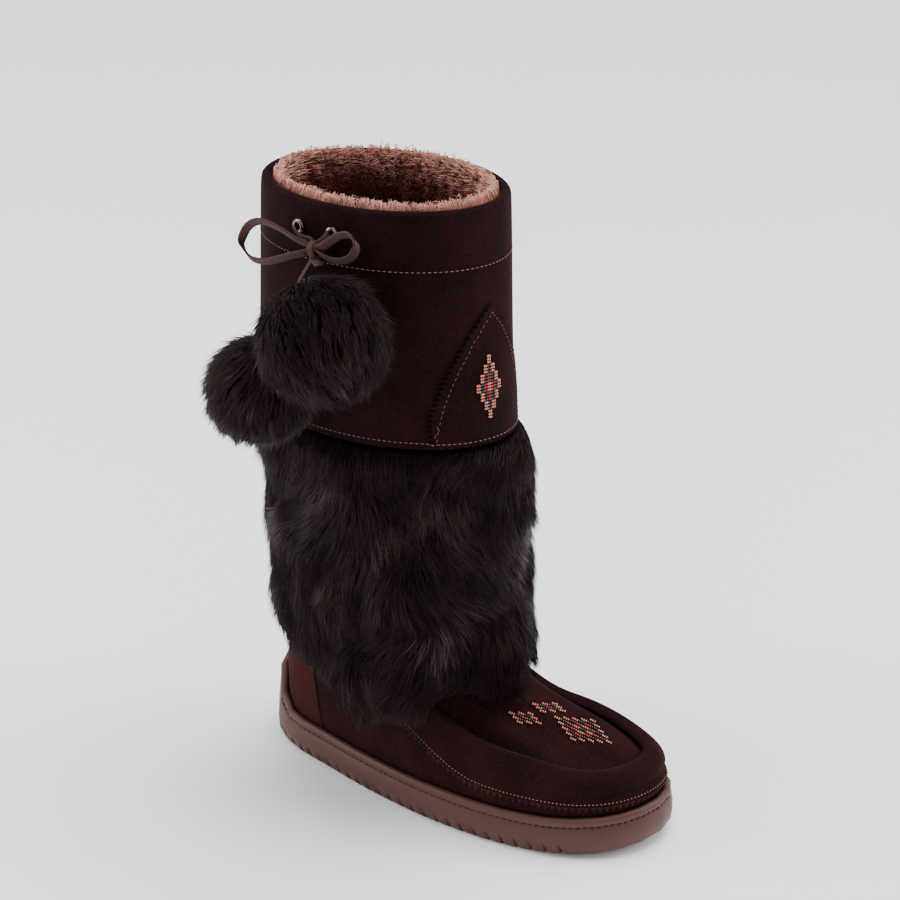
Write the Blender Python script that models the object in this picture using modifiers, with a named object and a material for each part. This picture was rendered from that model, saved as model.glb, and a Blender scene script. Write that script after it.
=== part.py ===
# Mukluk boot, a right one, standing on its sole.
# Metres. +X is the toe, +Y the inner side, +Z up. The origin is on the floor under the heel's centre.

import math

import bpy
import bmesh
import numpy as np

GAP = 0.0003                  # clearance between pieces that touch
MM = 0.001                    # the tie's routes are in millimetres

# The sole
SOLE_LENGTH = 0.280
BALL_WIDTH = 0.110            # width over both sides of the forefoot
HEEL_REACH = 0.046            # from the origin back to the heel's end
SOLE_HEIGHT = 0.023           # floor to the top of the lip under the arch
CUP_FLOOR = 0.011             # height of the cup's floor, where the insole lies
TOE_SPRING = 0.0065           # lift of the toe off the floor
SPRING_START = 0.70           # share of the length where the toe starts to lift
HEEL_RISE = 0.027             # how far the lip climbs at the heel's back
HEEL_WRAP = 0.046             # how far round each side that climb reaches
LIP_WIDTH = 0.005
INNER_START = -0.045          # where the inner side starts across the foot, as a share of BALL_WIDTH
INNER_SPAN = 0.230            # and the share over which it grows to its full form
CHANNEL_DROP = 0.0056         # from the lip's top down to the stitching channel
CHANNEL_DEPTH = 0.0012
NOTCH_PITCH = 0.0092          # the fins along the bottom edge
NOTCH_HEIGHT = 0.0078
NOTCH_WIDTH = 0.0032
NOTCH_REACH = 0.009           # how far a notch runs in under the sole
NOTCH_START = 0.035           # plain stretch of the edge at the heel's back
NOTCH_END = 0.062             # and at the toe
CUTTER_MARGIN = 0.001         # how far a cutter stands out of what it cuts
TREAD_DEPTH = 0.003
TREAD_WIDTH = 0.004           # a groove of the tread
TREAD_PITCH = 0.017
TREAD_EDGE = 0.013            # plain border of the tread
INSOLE_THICKNESS = 0.0035

# The upper and what is sewn on it
UPPER_WALL = 0.003
ANKLE_HEIGHT = 0.118          # where the foot's form has become the shaft
BOOT_HEIGHT = 0.382
SHAFT_LENGTH = 0.158          # the collar's outer size along the foot
SHAFT_WIDTH = 0.124           # and across it
SHAFT_CENTRE = 0.0357         # the collar's centre ahead of the origin
SHAFT_SIDE = -0.0038          # and to the side
WRAP_THICKNESS = 0.0018       # the moccasin wrap over the toes
WRAP_END = 0.40               # share of the way down into the seam where the wrap ends
WRAP_START = 0.40             # share of the length where the wrap comes out from under the fur
CUFF_THICKNESS = 0.0018
CUFF_SHARE = 0.462            # share of the way from ANKLE_HEIGHT to BOOT_HEIGHT at the cuff's hem
CUFF_HEM = ANKLE_HEIGHT + CUFF_SHARE * (BOOT_HEIGHT - ANKLE_HEIGHT)
FOLD_RADIUS = 0.5 * UPPER_WALL + GAP + CUFF_THICKNESS     # of the cuff's fold over the rim
RIM_HEIGHT = BOOT_HEIGHT - CUFF_THICKNESS - 2 * GAP       # of the upper's rim under that fold
CUFF_TURN = 0.014             # how far the cuff is turned down inside the collar
FUR_CLEARANCE = 0.0010        # between the fur and the moccasin wrap under it
LOCK_DEPTH = 0.0042           # relief of the fur's locks
LOCK_HANG = 0.008             # how far a lock's tip hangs below the hem
PATCH_THICKNESS = 0.0015
PATCH_HEIGHT = 0.080
PATCH_HALF_WIDTH = 0.0345     # measured straight across
PATCH_SHIFT = -0.0077         # of the patch's middle from the shaft's, towards the outer side
PATCH_RISE = 0.0028           # from the cuff's lower edge up to the patch
TOOTH_PITCH = 0.0036          # the patch's pinked edge
TOOTH_DEPTH = 0.0020

# The tie
EYELET_OUTER = 0.0045
EYELET_BORE = 0.0025
EYELET_THICKNESS = 0.0014
EYELET_SPACING = 0.0240
EYELET_CENTRE = 0.0333        # the middle between both eyelets, ahead of the origin
EYELET_DROP = 0.0165          # from the rim down to their centres
LACE_WIDTH = 0.0055
LACE_THICKNESS = 0.0015
KNOT_SIZE = (0.0120, 0.0085, 0.0105)
FRONT_BALL_RADIUS = 0.0385
REAR_BALL_RADIUS = 0.0330
TUFT_DEPTH = 0.0040           # how far the tips of the fur balls' tufts stand out
BALL_COLUMNS = 20
BALL_ROWS = 12
BOW_ACROSS = (0.0, -0.62, 0.78)   # the way across the bow's width
TAIL_ACROSS = {                    # and across the width of each tail
    "lace_tail_rear": (0.95, -0.31, 0.0),
    "lace_tail_front": (0.64, 0.75, 0.15),
}

COLUMNS = 44                  # points round the foot and the shaft
ANKLE_CROWDING = 0.62         # how far the ankle's points are crowded to its front
LOCKS = 19                    # locks of fur round the boot
LOCK_COLUMNS = 4              # points of the fur's outside to a lock
UNDERSIDE = 0.75              # share of the fur's width where its underside is hollowest

# The sole's outline from the heel's back along the outer side to the toe and back along the inner
# side. Columns: share of SOLE_LENGTH along, share of BALL_WIDTH across.
OUTLINE = (
    (0.000, 0.000),
    (0.028, -0.190),
    (0.095, -0.310),
    (0.235, -0.395),
    (0.395, -0.465),
    (0.570, -0.495),
    (0.740, -0.455),
    (0.880, -0.345),
    (0.965, -0.165),
    (1.000, 0.090),
    (0.975, 0.310),
    (0.890, 0.455),
    (0.760, 0.505),
    (0.600, 0.460),
    (0.400, 0.375),
    (0.235, 0.345),
    (0.095, 0.305),
    (0.028, 0.190),
)

# The four stations of FOOT_ROWS along the sole, as shares of SOLE_LENGTH: heel, waist, ball, toe.
STATIONS = (0.00, 0.36, 0.68, 1.00)

# The sole's wall from the floor up to the channel. Columns: share of LIP_WIDTH in from the
# outline, share of the way up.
SOLE_WALL = (
    (0.20, 0.00),
    (-0.18, 0.13),
    (-0.32, 0.48),
    (0.00, 0.93),
)
# A notch seen from the side. Columns: share of NOTCH_WIDTH along, share of NOTCH_HEIGHT up.
NOTCH_PROFILE = (
    (0.0, -0.18),
    (1.0, -0.18),
    (0.1, 0.50),
    (-0.8, 1.00),
)
# The lip above the channel, over its top and down into the cup. Columns: share of LIP_WIDTH in
# from the outline, share of CHANNEL_DROP below the lip's top.
SOLE_LIP = (
    (0.12, 0.80),
    (0.00, 0.48),
    (0.16, 0.14),
    (0.50, 0.00),
    (0.84, 0.07),
    (1.00, 0.28),
)

# The foot of the upper, row by row from the lip to the ankle. Columns: name; insets from the lip's
# inner side at heel, waist, ball and toe, as shares of BALL_WIDTH; heights above SOLE_HEIGHT at
# the same stations, as shares of the way to ANKLE_HEIGHT; the share in which the row follows the
# lip's climb at the heel; and the share in which its plan has become the ankle's oval.
FOOT_ROWS = (
    ("lip", (0.000, 0.000, 0.000, 0.000), (-0.012, -0.012, -0.012, -0.012), 1.0, 0.00),
    ("over_lip", (0.000, 0.000, 0.000, 0.000), (0.012, 0.012, 0.012, 0.012), 1.0, 0.00),
    ("rand", (-0.005, -0.009, -0.016, -0.014), (0.086, 0.054, 0.040, 0.026), 1.0, 0.00),
    ("quarter", (0.006, 0.001, -0.012, -0.012), (0.398, 0.215, 0.060, 0.035), 0.4, 0.00),
    ("pinked", (0.038, 0.010, -0.005, -0.006), (0.753, 0.430, 0.086, 0.047), 0.0, 0.00),
    ("side", (0.047, 0.005, 0.008, -0.001), (0.796, 0.527, 0.183, 0.145), 0.0, 0.00),
    ("shoulder", (0.052, -0.003, 0.030, 0.026), (0.828, 0.624, 0.285, 0.210), 0.0, 0.00),
    ("top", (0.057, -0.013, 0.070, 0.072), (0.849, 0.720, 0.339, 0.231), 0.0, 0.00),
    ("inner", (0.062, -0.018, 0.110, 0.117), (0.871, 0.747, 0.317, 0.210), 0.0, 0.00),
    ("seam", (0.066, -0.021, 0.134, 0.148), (0.887, 0.769, 0.280, 0.156), 0.0, 0.00),
    ("plug_edge", (0.072, -0.022, 0.159, 0.178), (0.903, 0.790, 0.317, 0.188), 0.0, 0.00),
    ("plug_toe", (0.072, -0.022, 0.159, 0.178), (0.914, 0.817, 0.387, 0.261), 0.0, 0.28),
    ("plug_middle", (0.072, -0.022, 0.159, 0.178), (0.925, 0.849, 0.473, 0.343), 0.0, 0.54),
    ("plug_back", (0.072, -0.022, 0.159, 0.178), (0.941, 0.882, 0.602, 0.471), 0.0, 0.78),
    ("instep", (0.072, -0.022, 0.159, 0.178), (0.962, 0.925, 0.780, 0.675), 0.0, 0.93),
    ("ankle", (0.072, -0.022, 0.159, 0.178), (1.000, 1.000, 1.000, 1.000), 0.0, 1.00),
)
# How the inner side differs there from the ball to the toe. Columns: inset, as a share of
# BALL_WIDTH, and height, as a share of the way from SOLE_HEIGHT to ANKLE_HEIGHT.
INNER_SHIFTS = {
    "shoulder": (-0.004, 0.004),
    "top": (-0.014, 0.010),
    "inner": (-0.027, 0.020),
    "seam": (-0.032, 0.027),
    "plug_edge": (-0.032, 0.028),
    "plug_toe": (-0.028, 0.028),
    "plug_middle": (-0.020, 0.022),
    "plug_back": (0.000, 0.010),
}
WRAP_ROWS = ("pinked", "side", "shoulder", "top", "inner", "seam")
LEG_SKIPS = ("hem", "lip", "over_lip", "inner", "seam", "plug_edge")    # what the fur passes over

# The shaft's ovals from the ankle to the collar, over the cuff's leather. Columns: share of the
# way from ANKLE_HEIGHT to BOOT_HEIGHT, centre ahead of SHAFT_CENTRE and half length as shares of
# SHAFT_LENGTH, half width as a share of SHAFT_WIDTH.
SHAFT_ROWS = (
    (0.000, 0.072, 0.452, 0.420),
    (0.121, 0.068, 0.460, 0.428),
    (0.250, 0.060, 0.482, 0.446),
    (0.440, 0.010, 0.536, 0.476),
    (CUFF_SHARE, 0.000, 0.548, 0.479),
    (0.640, 0.000, 0.528, 0.486),
    (0.830, 0.000, 0.512, 0.497),
    (1.000, 0.000, 0.500, 0.500),
)
CUFF_SHARES = (0.640, 0.830)  # the rows of the shaft between the cuff's hem and its fold

# The outside of the fur, from the cuff's hem down. Columns: height as a share of CUFF_HEM, centre
# and half length and half width as above, and the share of LOCK_DEPTH that the locks have there.
FUR_ROWS = (
    (1.000, 0.014, 0.566, 0.508, 0.15),
    (0.960, 0.026, 0.577, 0.530, 0.60),
    (0.880, 0.050, 0.572, 0.548, 0.90),
    (0.760, 0.066, 0.558, 0.545, 0.70),
    (0.640, 0.073, 0.552, 0.549, 1.00),
    (0.520, 0.079, 0.551, 0.552, 0.80),
    (0.410, 0.089, 0.555, 0.549, 1.00),
    (0.300, 0.103, 0.568, 0.540, 0.90),
    (0.200, 0.110, 0.576, 0.530, 0.60),
)
# The fur's lower edge. Columns: share of a turn from the heel's back by the outer side, height as
# a share of ANKLE_HEIGHT.
FUR_HEM = (
    (0.00, 0.56),
    (0.10, 0.70),
    (0.17, 0.62),
    (0.25, 0.52),
    (0.34, 0.56),
    (0.42, 0.64),
    (0.50, 0.67),
    (0.58, 0.66),
    (0.66, 0.60),
    (0.75, 0.54),
    (0.88, 0.60),
)

# The patch's half width, from its foot to its rounded top. Columns: share of PATCH_HEIGHT, share
# of PATCH_HALF_WIDTH.
PATCH_SIDE = (
    (0.00, 0.90),
    (0.12, 0.935),
    (0.24, 0.92),
    (0.40, 0.83),
    (0.56, 0.70),
    (0.71, 0.54),
    (0.84, 0.36),
    (0.94, 0.17),
)

# The tie's routes, in millimetres, chosen by hand.
KNOT_CENTRE = (39.0, -72.6, 357.0)
FRONT_BALL = (69.5, -102.5, 319.0)
REAR_BALL = (15.0, -93.0, 273.6)
LACE_ROUTES = {
    "lace_run_rear": ((21.6, -68.6, 364.6), (23.4, -70.4, 364.2), (28.0, -71.4, 362.4),
                      (32.4, -71.2, 361.4), (35.4, -70.9, 361.6)),
    "lace_run_front": ((45.0, -68.2, 365.4), (45.4, -70.6, 364.8), (44.4, -71.4, 363.2),
                       (42.2, -71.2, 361.7)),
    "bow_loop_rear": ((34.4, -74.4, 359.2), (28.0, -76.4, 362.0), (18.0, -77.6, 366.0),
                      (8.0, -77.0, 367.6), (-5.0, -73.0, 364.6), (-15.0, -70.0, 356.6),
                      (-18.6, -69.0, 348.0), (-12.0, -70.0, 341.6), (0.0, -72.0, 341.8),
                      (14.0, -74.0, 346.8), (25.0, -75.2, 351.6), (34.6, -74.9, 355.2)),
    "bow_loop_front": ((44.2, -74.6, 359.4), (49.0, -76.8, 362.4), (56.0, -78.8, 367.4),
                       (63.5, -80.6, 372.0), (70.5, -81.0, 373.6), (74.0, -80.0, 368.6),
                       (71.0, -78.8, 361.6), (63.4, -77.6, 356.6), (54.0, -76.4, 354.8),
                       (44.1, -74.9, 356.2)),
    "lace_tail_rear": ((37.4, -72.2, 352.4), (34.2, -73.6, 345.8), (30.2, -75.8, 337.4),
                       (26.8, -78.6, 328.6), (24.2, -81.6, 319.6), (21.7, -85.0, 309.3)),
    "lace_tail_front": ((40.8, -75.3, 352.0), (45.2, -78.6, 352.4), (49.8, -81.9, 351.8)),
}


def new_collection(name):
    group = bpy.data.collections.new(name)
    bpy.context.scene.collection.children.link(group)
    return group


def finish(name, colour, roughness, metallic=0.0):
    material = bpy.data.materials.new(name)
    material.use_nodes = True
    shader = material.node_tree.nodes["Principled BSDF"]
    shader.inputs["Base Color"].default_value = (*colour, 1.0)
    shader.inputs["Roughness"].default_value = roughness
    shader.inputs["Metallic"].default_value = metallic
    return material


def mesh_piece(name, points, faces, material, group):
    mesh = bpy.data.meshes.new(name)
    mesh.from_pydata([tuple(point) for point in points], [], faces)
    piece = bpy.data.objects.new(name, mesh)
    group.objects.link(piece)
    if material:
        mesh.materials.append(material)
    mesh.shade_smooth()
    mesh.set_sharp_from_angle(angle=math.radians(40))
    return piece


def thicken(piece, thickness, side):
    """Gives a surface a wall, outwards for side 1 and inwards for side -1."""
    wall = piece.modifiers.new("wall", "SOLIDIFY")
    wall.thickness = thickness
    wall.offset = side


def cut(piece, cutter, operation):
    cutter.hide_render = True
    cutter.display_type = "WIRE"
    boolean = piece.modifiers.new("cut", "BOOLEAN")
    boolean.operation = operation
    boolean.solver = "EXACT"
    boolean.object = cutter


def smooth_curve(points, fine, closed=False):
    """A smooth curve through the points, with so many steps from each to the next."""
    points = np.array(points, float)
    if closed:
        points = np.vstack([points[-1:], points, points[:2]])
    else:
        points = np.vstack([2 * points[0] - points[1], points, 2 * points[-1] - points[-2]])
    step = np.linalg.norm(np.diff(points, axis=0), axis=1)[:, None]
    slope = np.diff(points, axis=0) / step
    tangent = (slope[1:] * step[:-1] + slope[:-1] * step[1:]) / (step[1:] + step[:-1])
    share = np.linspace(0.0, 1.0, fine, endpoint=False)[:, None]
    square = share ** 2
    cube = share ** 3
    pieces = []
    for index in range(len(tangent) - 1):
        length = step[index + 1]
        pieces.append((2 * cube - 3 * square + 1) * points[index + 1]
                      + (cube - 2 * square + share) * length * tangent[index]
                      + (3 * square - 2 * cube) * points[index + 2]
                      + (cube - square) * length * tangent[index + 1])
    if not closed:
        pieces.append(points[-2:-1])
    return np.vstack(pieces)


def along(curve):
    """Length of a curve up to each of its points."""
    return np.r_[0.0, np.cumsum(np.linalg.norm(np.diff(curve, axis=0), axis=1))]


def at_lengths(curve, lengths):
    """Points of a curve at the given lengths from its start."""
    measured = along(curve)
    return np.stack([np.interp(lengths, measured, axis) for axis in np.transpose(curve)], 1)


def ring_faces(rings, columns, closed_rows=False):
    """Triangles between rings of points. A ring runs left round, the rings from low to high."""
    faces = []
    for row in range(rings if closed_rows else rings - 1):
        above = (row + 1) % rings
        for column in range(columns):
            side = (column + 1) % columns
            corner = (row * columns + column, row * columns + side)
            upper = (above * columns + side, above * columns + column)
            faces.append((corner[0], corner[1], upper[0]))
            faces.append((corner[0], upper[0], upper[1]))
    return faces


def strip_faces(rows, columns):
    """Triangles of an open grid of points."""
    faces = []
    for row in range(rows - 1):
        for column in range(columns - 1):
            first = row * columns + column
            faces.append((first, first + 1, first + columns + 1))
            faces.append((first, first + columns + 1, first + columns))
    return faces


def ladder_faces(start, columns, upwards):
    """Closes a foot-shaped ring with strips across it."""
    faces = [(start, start + 1, start + columns - 1)]
    for rung in range(1, columns // 2):
        near = start + rung
        far = start + columns - rung
        if rung < columns // 2 - 1:
            faces.append((near, near + 1, far - 1, far))
        else:
            faces.append((near, near + 1, far))
    return faces if upwards else [tuple(reversed(face)) for face in faces]


class Outline:
    """The sole's outline as even points on each side, with what is worked out from them."""

    def __init__(self, columns):
        curve = smooth_curve(np.array(OUTLINE) * (SOLE_LENGTH, BALL_WIDTH), 24, closed=True)
        toe = int(np.argmax(curve[:, 0]))
        half = columns // 2
        sides = (curve[:toe + 1], np.vstack([curve[toe:], curve[:1]]))
        self.side_lengths = [along(side)[-1] for side in sides]
        self.points = np.vstack([at_lengths(side, np.linspace(0.0, length, half + 1)[:-1])
                                 for side, length in zip(sides, self.side_lengths)])
        self.share = self.points[:, 0] / SOLE_LENGTH
        self.points[:, 0] -= HEEL_REACH
        forward = np.roll(self.points, -1, 0) - np.roll(self.points, 1, 0)
        forward /= np.linalg.norm(forward, axis=1)[:, None]
        self.forward = forward
        self.inward = np.c_[-forward[:, 1], forward[:, 0]]
        self.spring = spring(self.share)
        steps = np.arange(half) / half
        from_heel = np.r_[steps * self.side_lengths[0], (1.0 - steps) * self.side_lengths[1]]
        self.climb = HEEL_RISE * np.cos(0.5 * math.pi * np.minimum(1.0, from_heel / HEEL_WRAP)) ** 2
        self.lip = SOLE_HEIGHT + self.spring + self.climb
        self.from_heel = from_heel
        side = np.clip((self.points[:, 1] / BALL_WIDTH - INNER_START) / INNER_SPAN, 0.0, 1.0)
        self.inner = self.at_stations((0.0, 0.0, 1.0, 1.0)) * side ** 2 * (3.0 - 2.0 * side)

    def ring(self, inset, height):
        flat = self.points + self.inward * np.reshape(inset, (-1, 1))
        return np.c_[flat, np.broadcast_to(height, len(flat))]

    def at_stations(self, values):
        """A value at each point from its values at heel, waist, ball and toe."""
        place = np.interp(self.share, STATIONS, np.arange(len(STATIONS)))
        before = np.clip(place.astype(int), 0, len(STATIONS) - 2)
        turn = 0.5 - 0.5 * np.cos(math.pi * (place - before))
        values = np.array(values)
        return values[before] * (1.0 - turn) + values[before + 1] * turn


def spring(share):
    """Lift of the sole off the floor at a share of its length."""
    return TOE_SPRING * np.clip((share - SPRING_START) / (1.0 - SPRING_START), 0.0, 1.0) ** 2


def turn_angles(columns, crowding=0.0):
    """Angles round the shaft from the heel's back by the outer side, crowded towards the front."""
    turn = 2.0 * np.arange(columns) / columns
    half = 1.0 - np.abs(1.0 - turn) ** (1.0 + crowding)
    return math.pi + math.pi * np.where(turn <= 1.0, half, 2.0 - half)


def shaft_oval(share):
    """Centre and half sizes of the leather's outside at a share of the shaft's height."""
    table = np.array(SHAFT_ROWS)
    centre, length, width = [np.interp(share, table[:, 0], table[:, index]) for index in (1, 2, 3)]
    cover = CUFF_THICKNESS + GAP
    return (SHAFT_CENTRE + centre * SHAFT_LENGTH, length * SHAFT_LENGTH - cover,
            width * SHAFT_WIDTH - cover)


def oval_ring(centre, half_length, half_width, height, angles, out=0.0):
    """Points of an oval, pushed out from it by a distance."""
    across = np.c_[np.cos(angles) / half_length, np.sin(angles) / half_width]
    across /= np.linalg.norm(across, axis=1)[:, None]
    flat = np.c_[centre + half_length * np.cos(angles), SHAFT_SIDE + half_width * np.sin(angles)]
    flat = flat + across * np.reshape(out, (-1, 1))
    return np.c_[flat, np.broadcast_to(height, len(flat))]


def shaft_ring(height, out, columns=COLUMNS):
    share = (height - ANKLE_HEIGHT) / (BOOT_HEIGHT - ANKLE_HEIGHT)
    return oval_ring(*shaft_oval(share), height, turn_angles(columns), out)


def shaft_height(share):
    return ANKLE_HEIGHT + share * (BOOT_HEIGHT - ANKLE_HEIGHT)


def upper_grid(outline):
    """The outside of the upper: a ring of points for each row, and the rows' names."""
    base = LIP_WIDTH + GAP
    rings = [outline.ring(base, CUP_FLOOR + outline.spring + GAP)]
    names = ["hem"]
    rise = ANKLE_HEIGHT - SOLE_HEIGHT
    ankle = oval_ring(*shaft_oval(0.0), ANKLE_HEIGHT, turn_angles(COLUMNS, ANKLE_CROWDING))
    for name, insets, lifts, climb, turned in FOOT_ROWS:
        shift, lift = INNER_SHIFTS.get(name, (0.0, 0.0))
        height = (SOLE_HEIGHT + rise * (outline.at_stations(lifts) + lift * outline.inner)
                  + outline.spring * (1.0 - turned) + outline.climb * climb)
        inset = outline.at_stations(insets) + shift * outline.inner
        foot = outline.ring(base + BALL_WIDTH * inset, height)
        foot[:, :2] += turned * (ankle[:, :2] - foot[:, :2])
        rings.append(foot)
        names.append(name)
    for row in SHAFT_ROWS[1:-1]:
        crowding = ANKLE_CROWDING * max(0.0, 1.0 - row[0] / SHAFT_ROWS[2][0])
        rings.append(oval_ring(*shaft_oval(row[0]), shaft_height(row[0]),
                               turn_angles(COLUMNS, crowding)))
        names.append(row[0])
    rings.append(shaft_ring(RIM_HEIGHT, 0.0))
    names.append("rim")
    return np.array(rings), names


def pushed_out(grid, distance):
    """The grid moved along its own normals."""
    sideways = np.roll(grid, -1, 1) - np.roll(grid, 1, 1)
    upwards = np.gradient(grid, axis=0)
    normal = np.cross(sideways, upwards)
    normal /= np.linalg.norm(normal, axis=2)[:, :, None]
    return grid + normal * np.reshape(distance, (-1, 1, 1))


def make_outsole(outline, material, group, cutters):
    rings = [outline.ring(LIP_WIDTH * inset, outline.spring
                          + up * (outline.lip - CHANNEL_DROP - outline.spring))
             for inset, up in SOLE_WALL]
    rings.append(outline.ring(CHANNEL_DEPTH, outline.lip - CHANNEL_DROP))
    for inset, drop in SOLE_LIP:
        rings.append(outline.ring(LIP_WIDTH * inset, outline.lip - CHANNEL_DROP * drop))
    rings.append(outline.ring(LIP_WIDTH, CUP_FLOOR + outline.spring))
    faces = ring_faces(len(rings), COLUMNS)
    faces += ladder_faces(0, COLUMNS, upwards=False)
    faces += ladder_faces((len(rings) - 1) * COLUMNS, COLUMNS, upwards=True)
    sole = mesh_piece("outsole", np.vstack(rings), faces, material, group)
    cut(sole, tread_cutter(outline, cutters), "DIFFERENCE")
    return sole


def add_prism(mesh, profile, start, end):
    """Adds a prism to a bmesh, from the same profile of points at its start and its end."""
    first = [mesh.verts.new(tuple(start + point)) for point in profile]
    last = [mesh.verts.new(tuple(end + point)) for point in profile]
    mesh.faces.new(first)
    mesh.faces.new(list(reversed(last)))
    for index, vertex in enumerate(first):
        follower = (index + 1) % len(first)
        mesh.faces.new((first[follower], vertex, last[index], last[follower]))


def at_place(place, places, values):
    """Values of a table's columns between its rows."""
    return np.array([np.interp(place, places, column) for column in np.transpose(values)])


def add_notches(mesh, outline, side, length):
    """Adds the notches along one side of the sole's edge."""
    order = np.argsort(outline.from_heel[side])
    from_heel = outline.from_heel[side][order]
    for place in np.arange(NOTCH_START, length - NOTCH_END, NOTCH_PITCH):
        middle = at_place(place, from_heel, outline.points[side][order])
        ahead = at_place(place, from_heel, outline.forward[side][order])
        into = at_place(place, from_heel, outline.inward[side][order])
        if ahead[0] < 0.0:
            ahead = -ahead
        ground = spring((middle[0] + HEEL_REACH) / SOLE_LENGTH)
        profile = [np.array((*(ahead * NOTCH_WIDTH * run), ground + NOTCH_HEIGHT * up))
                   for run, up in NOTCH_PROFILE]
        start = np.array((*(middle - into * 3 * CUTTER_MARGIN), 0.0))
        end = np.array((*(middle + into * NOTCH_REACH), 0.0))
        add_prism(mesh, profile, start, end)


def add_grooves(mesh, outline):
    """Adds the grooves across the tread, half a pitch off the heel's centre."""
    half = COLUMNS // 2
    outer = outline.points[:half + 1]
    inner = np.vstack([outline.points[:1], outline.points[:half - 1:-1]])
    first = math.ceil((TREAD_EDGE - HEEL_REACH) / TREAD_PITCH) + 0.5
    last = 0.5 * (SPRING_START + 1.0) * SOLE_LENGTH - HEEL_REACH
    half_width = 0.5 * TREAD_WIDTH
    for place in np.arange(first * TREAD_PITCH, last, TREAD_PITCH):
        near = np.interp(place, outer[:, 0], outer[:, 1]) + TREAD_EDGE
        far = np.interp(place, inner[:, 0], inner[:, 1]) - TREAD_EDGE
        top = float(spring((place + HEEL_REACH) / SOLE_LENGTH)) + TREAD_DEPTH
        profile = [np.array((run, 0.0, up)) for run, up in (
            (-half_width, -CUTTER_MARGIN), (half_width, -CUTTER_MARGIN),
            (half_width, top), (-half_width, top))]
        add_prism(mesh, profile, np.array((place, near, 0.0)), np.array((place, far, 0.0)))


def add_cutter(name, mesh, cutters):
    bmesh.ops.recalc_face_normals(mesh, faces=mesh.faces)
    shape = bpy.data.meshes.new(name)
    mesh.to_mesh(shape)
    mesh.free()
    cutter = bpy.data.objects.new(name, shape)
    cutters.objects.link(cutter)
    return cutter


def tread_cutter(outline, cutters):
    mesh = bmesh.new()
    half = COLUMNS // 2
    for side, length in zip((slice(0, half + 1), slice(half, COLUMNS)), outline.side_lengths):
        add_notches(mesh, outline, side, length)
    add_grooves(mesh, outline)
    return add_cutter("tread_cutter", mesh, cutters)


def make_insole(outline, material, group):
    inset = LIP_WIDTH + UPPER_WALL + 3 * GAP
    floor = CUP_FLOOR + outline.spring + GAP
    rings = [outline.ring(inset, floor), outline.ring(inset, floor + INSOLE_THICKNESS)]
    faces = ring_faces(2, COLUMNS)
    faces += ladder_faces(0, COLUMNS, upwards=False)
    faces += ladder_faces(COLUMNS, COLUMNS, upwards=True)
    return mesh_piece("insole", np.vstack(rings), faces, material, group)


def make_upper(grid, material, group):
    upper = mesh_piece("upper", grid.reshape(-1, 3), ring_faces(len(grid), COLUMNS), material, group)
    thicken(upper, UPPER_WALL, -1)
    return upper


def make_wrap(outline, grid, names, material, group):
    """The band sewn round the toe plug, from its pinked lower edge over the bolster to the seam."""
    rows = [names.index(name) for name in WRAP_ROWS]
    columns = [index for index in range(COLUMNS) if outline.share[index] >= WRAP_START]
    band = pushed_out(grid, 2 * GAP)[rows][:, columns]
    band[-1] = band[-2] + WRAP_END * (band[-1] - band[-2])
    wrap = mesh_piece("moccasin_wrap", band.reshape(-1, 3), strip_faces(len(rows), len(columns)),
                      material, group)
    thicken(wrap, WRAP_THICKNESS, 1)
    return wrap


def make_cuff(material, group):
    """Leather from the hem up the shaft, turned over the rim and down inside it."""
    out = GAP + CUFF_THICKNESS
    inside = -UPPER_WALL - GAP
    fold_centre = BOOT_HEIGHT - FOLD_RADIUS
    heights = [CUFF_HEM] + [shaft_height(share) for share in CUFF_SHARES]
    profile = [(height, out) for height in heights]
    for step in range(7):
        angle = math.pi * step / 6
        profile.append((fold_centre + FOLD_RADIUS * math.sin(angle),
                        -0.5 * UPPER_WALL + FOLD_RADIUS * math.cos(angle)))
    profile.append((RIM_HEIGHT - CUFF_TURN, inside - CUFF_THICKNESS))
    profile.append((RIM_HEIGHT - CUFF_TURN, inside))
    profile.append((RIM_HEIGHT + GAP, inside))
    profile.append((RIM_HEIGHT + GAP, GAP))
    profile += [(height, GAP) for height in reversed(heights)]
    rings = [shaft_ring(height, shift) for height, shift in profile]
    return mesh_piece("cuff", np.vstack(rings), ring_faces(len(rings), COLUMNS, closed_rows=True),
                      material, group)


def leg_form(outline, grid, names, cutters):
    """A closed form of leather and wrap with their clearance, which hollows the fur."""
    rows = [index for index, name in enumerate(names) if name not in LEG_SKIPS]
    clear = np.where(np.array(rows) <= names.index("ankle"),
                     WRAP_THICKNESS + GAP + FUR_CLEARANCE, GAP)
    leg = pushed_out(grid[rows], clear)
    faces = ring_faces(len(leg), COLUMNS)
    faces += ladder_faces(0, COLUMNS, upwards=False)
    faces += ladder_faces((len(leg) - 1) * COLUMNS, COLUMNS, upwards=True)
    return mesh_piece("leg_form", leg.reshape(-1, 3), faces, None, cutters)


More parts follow.
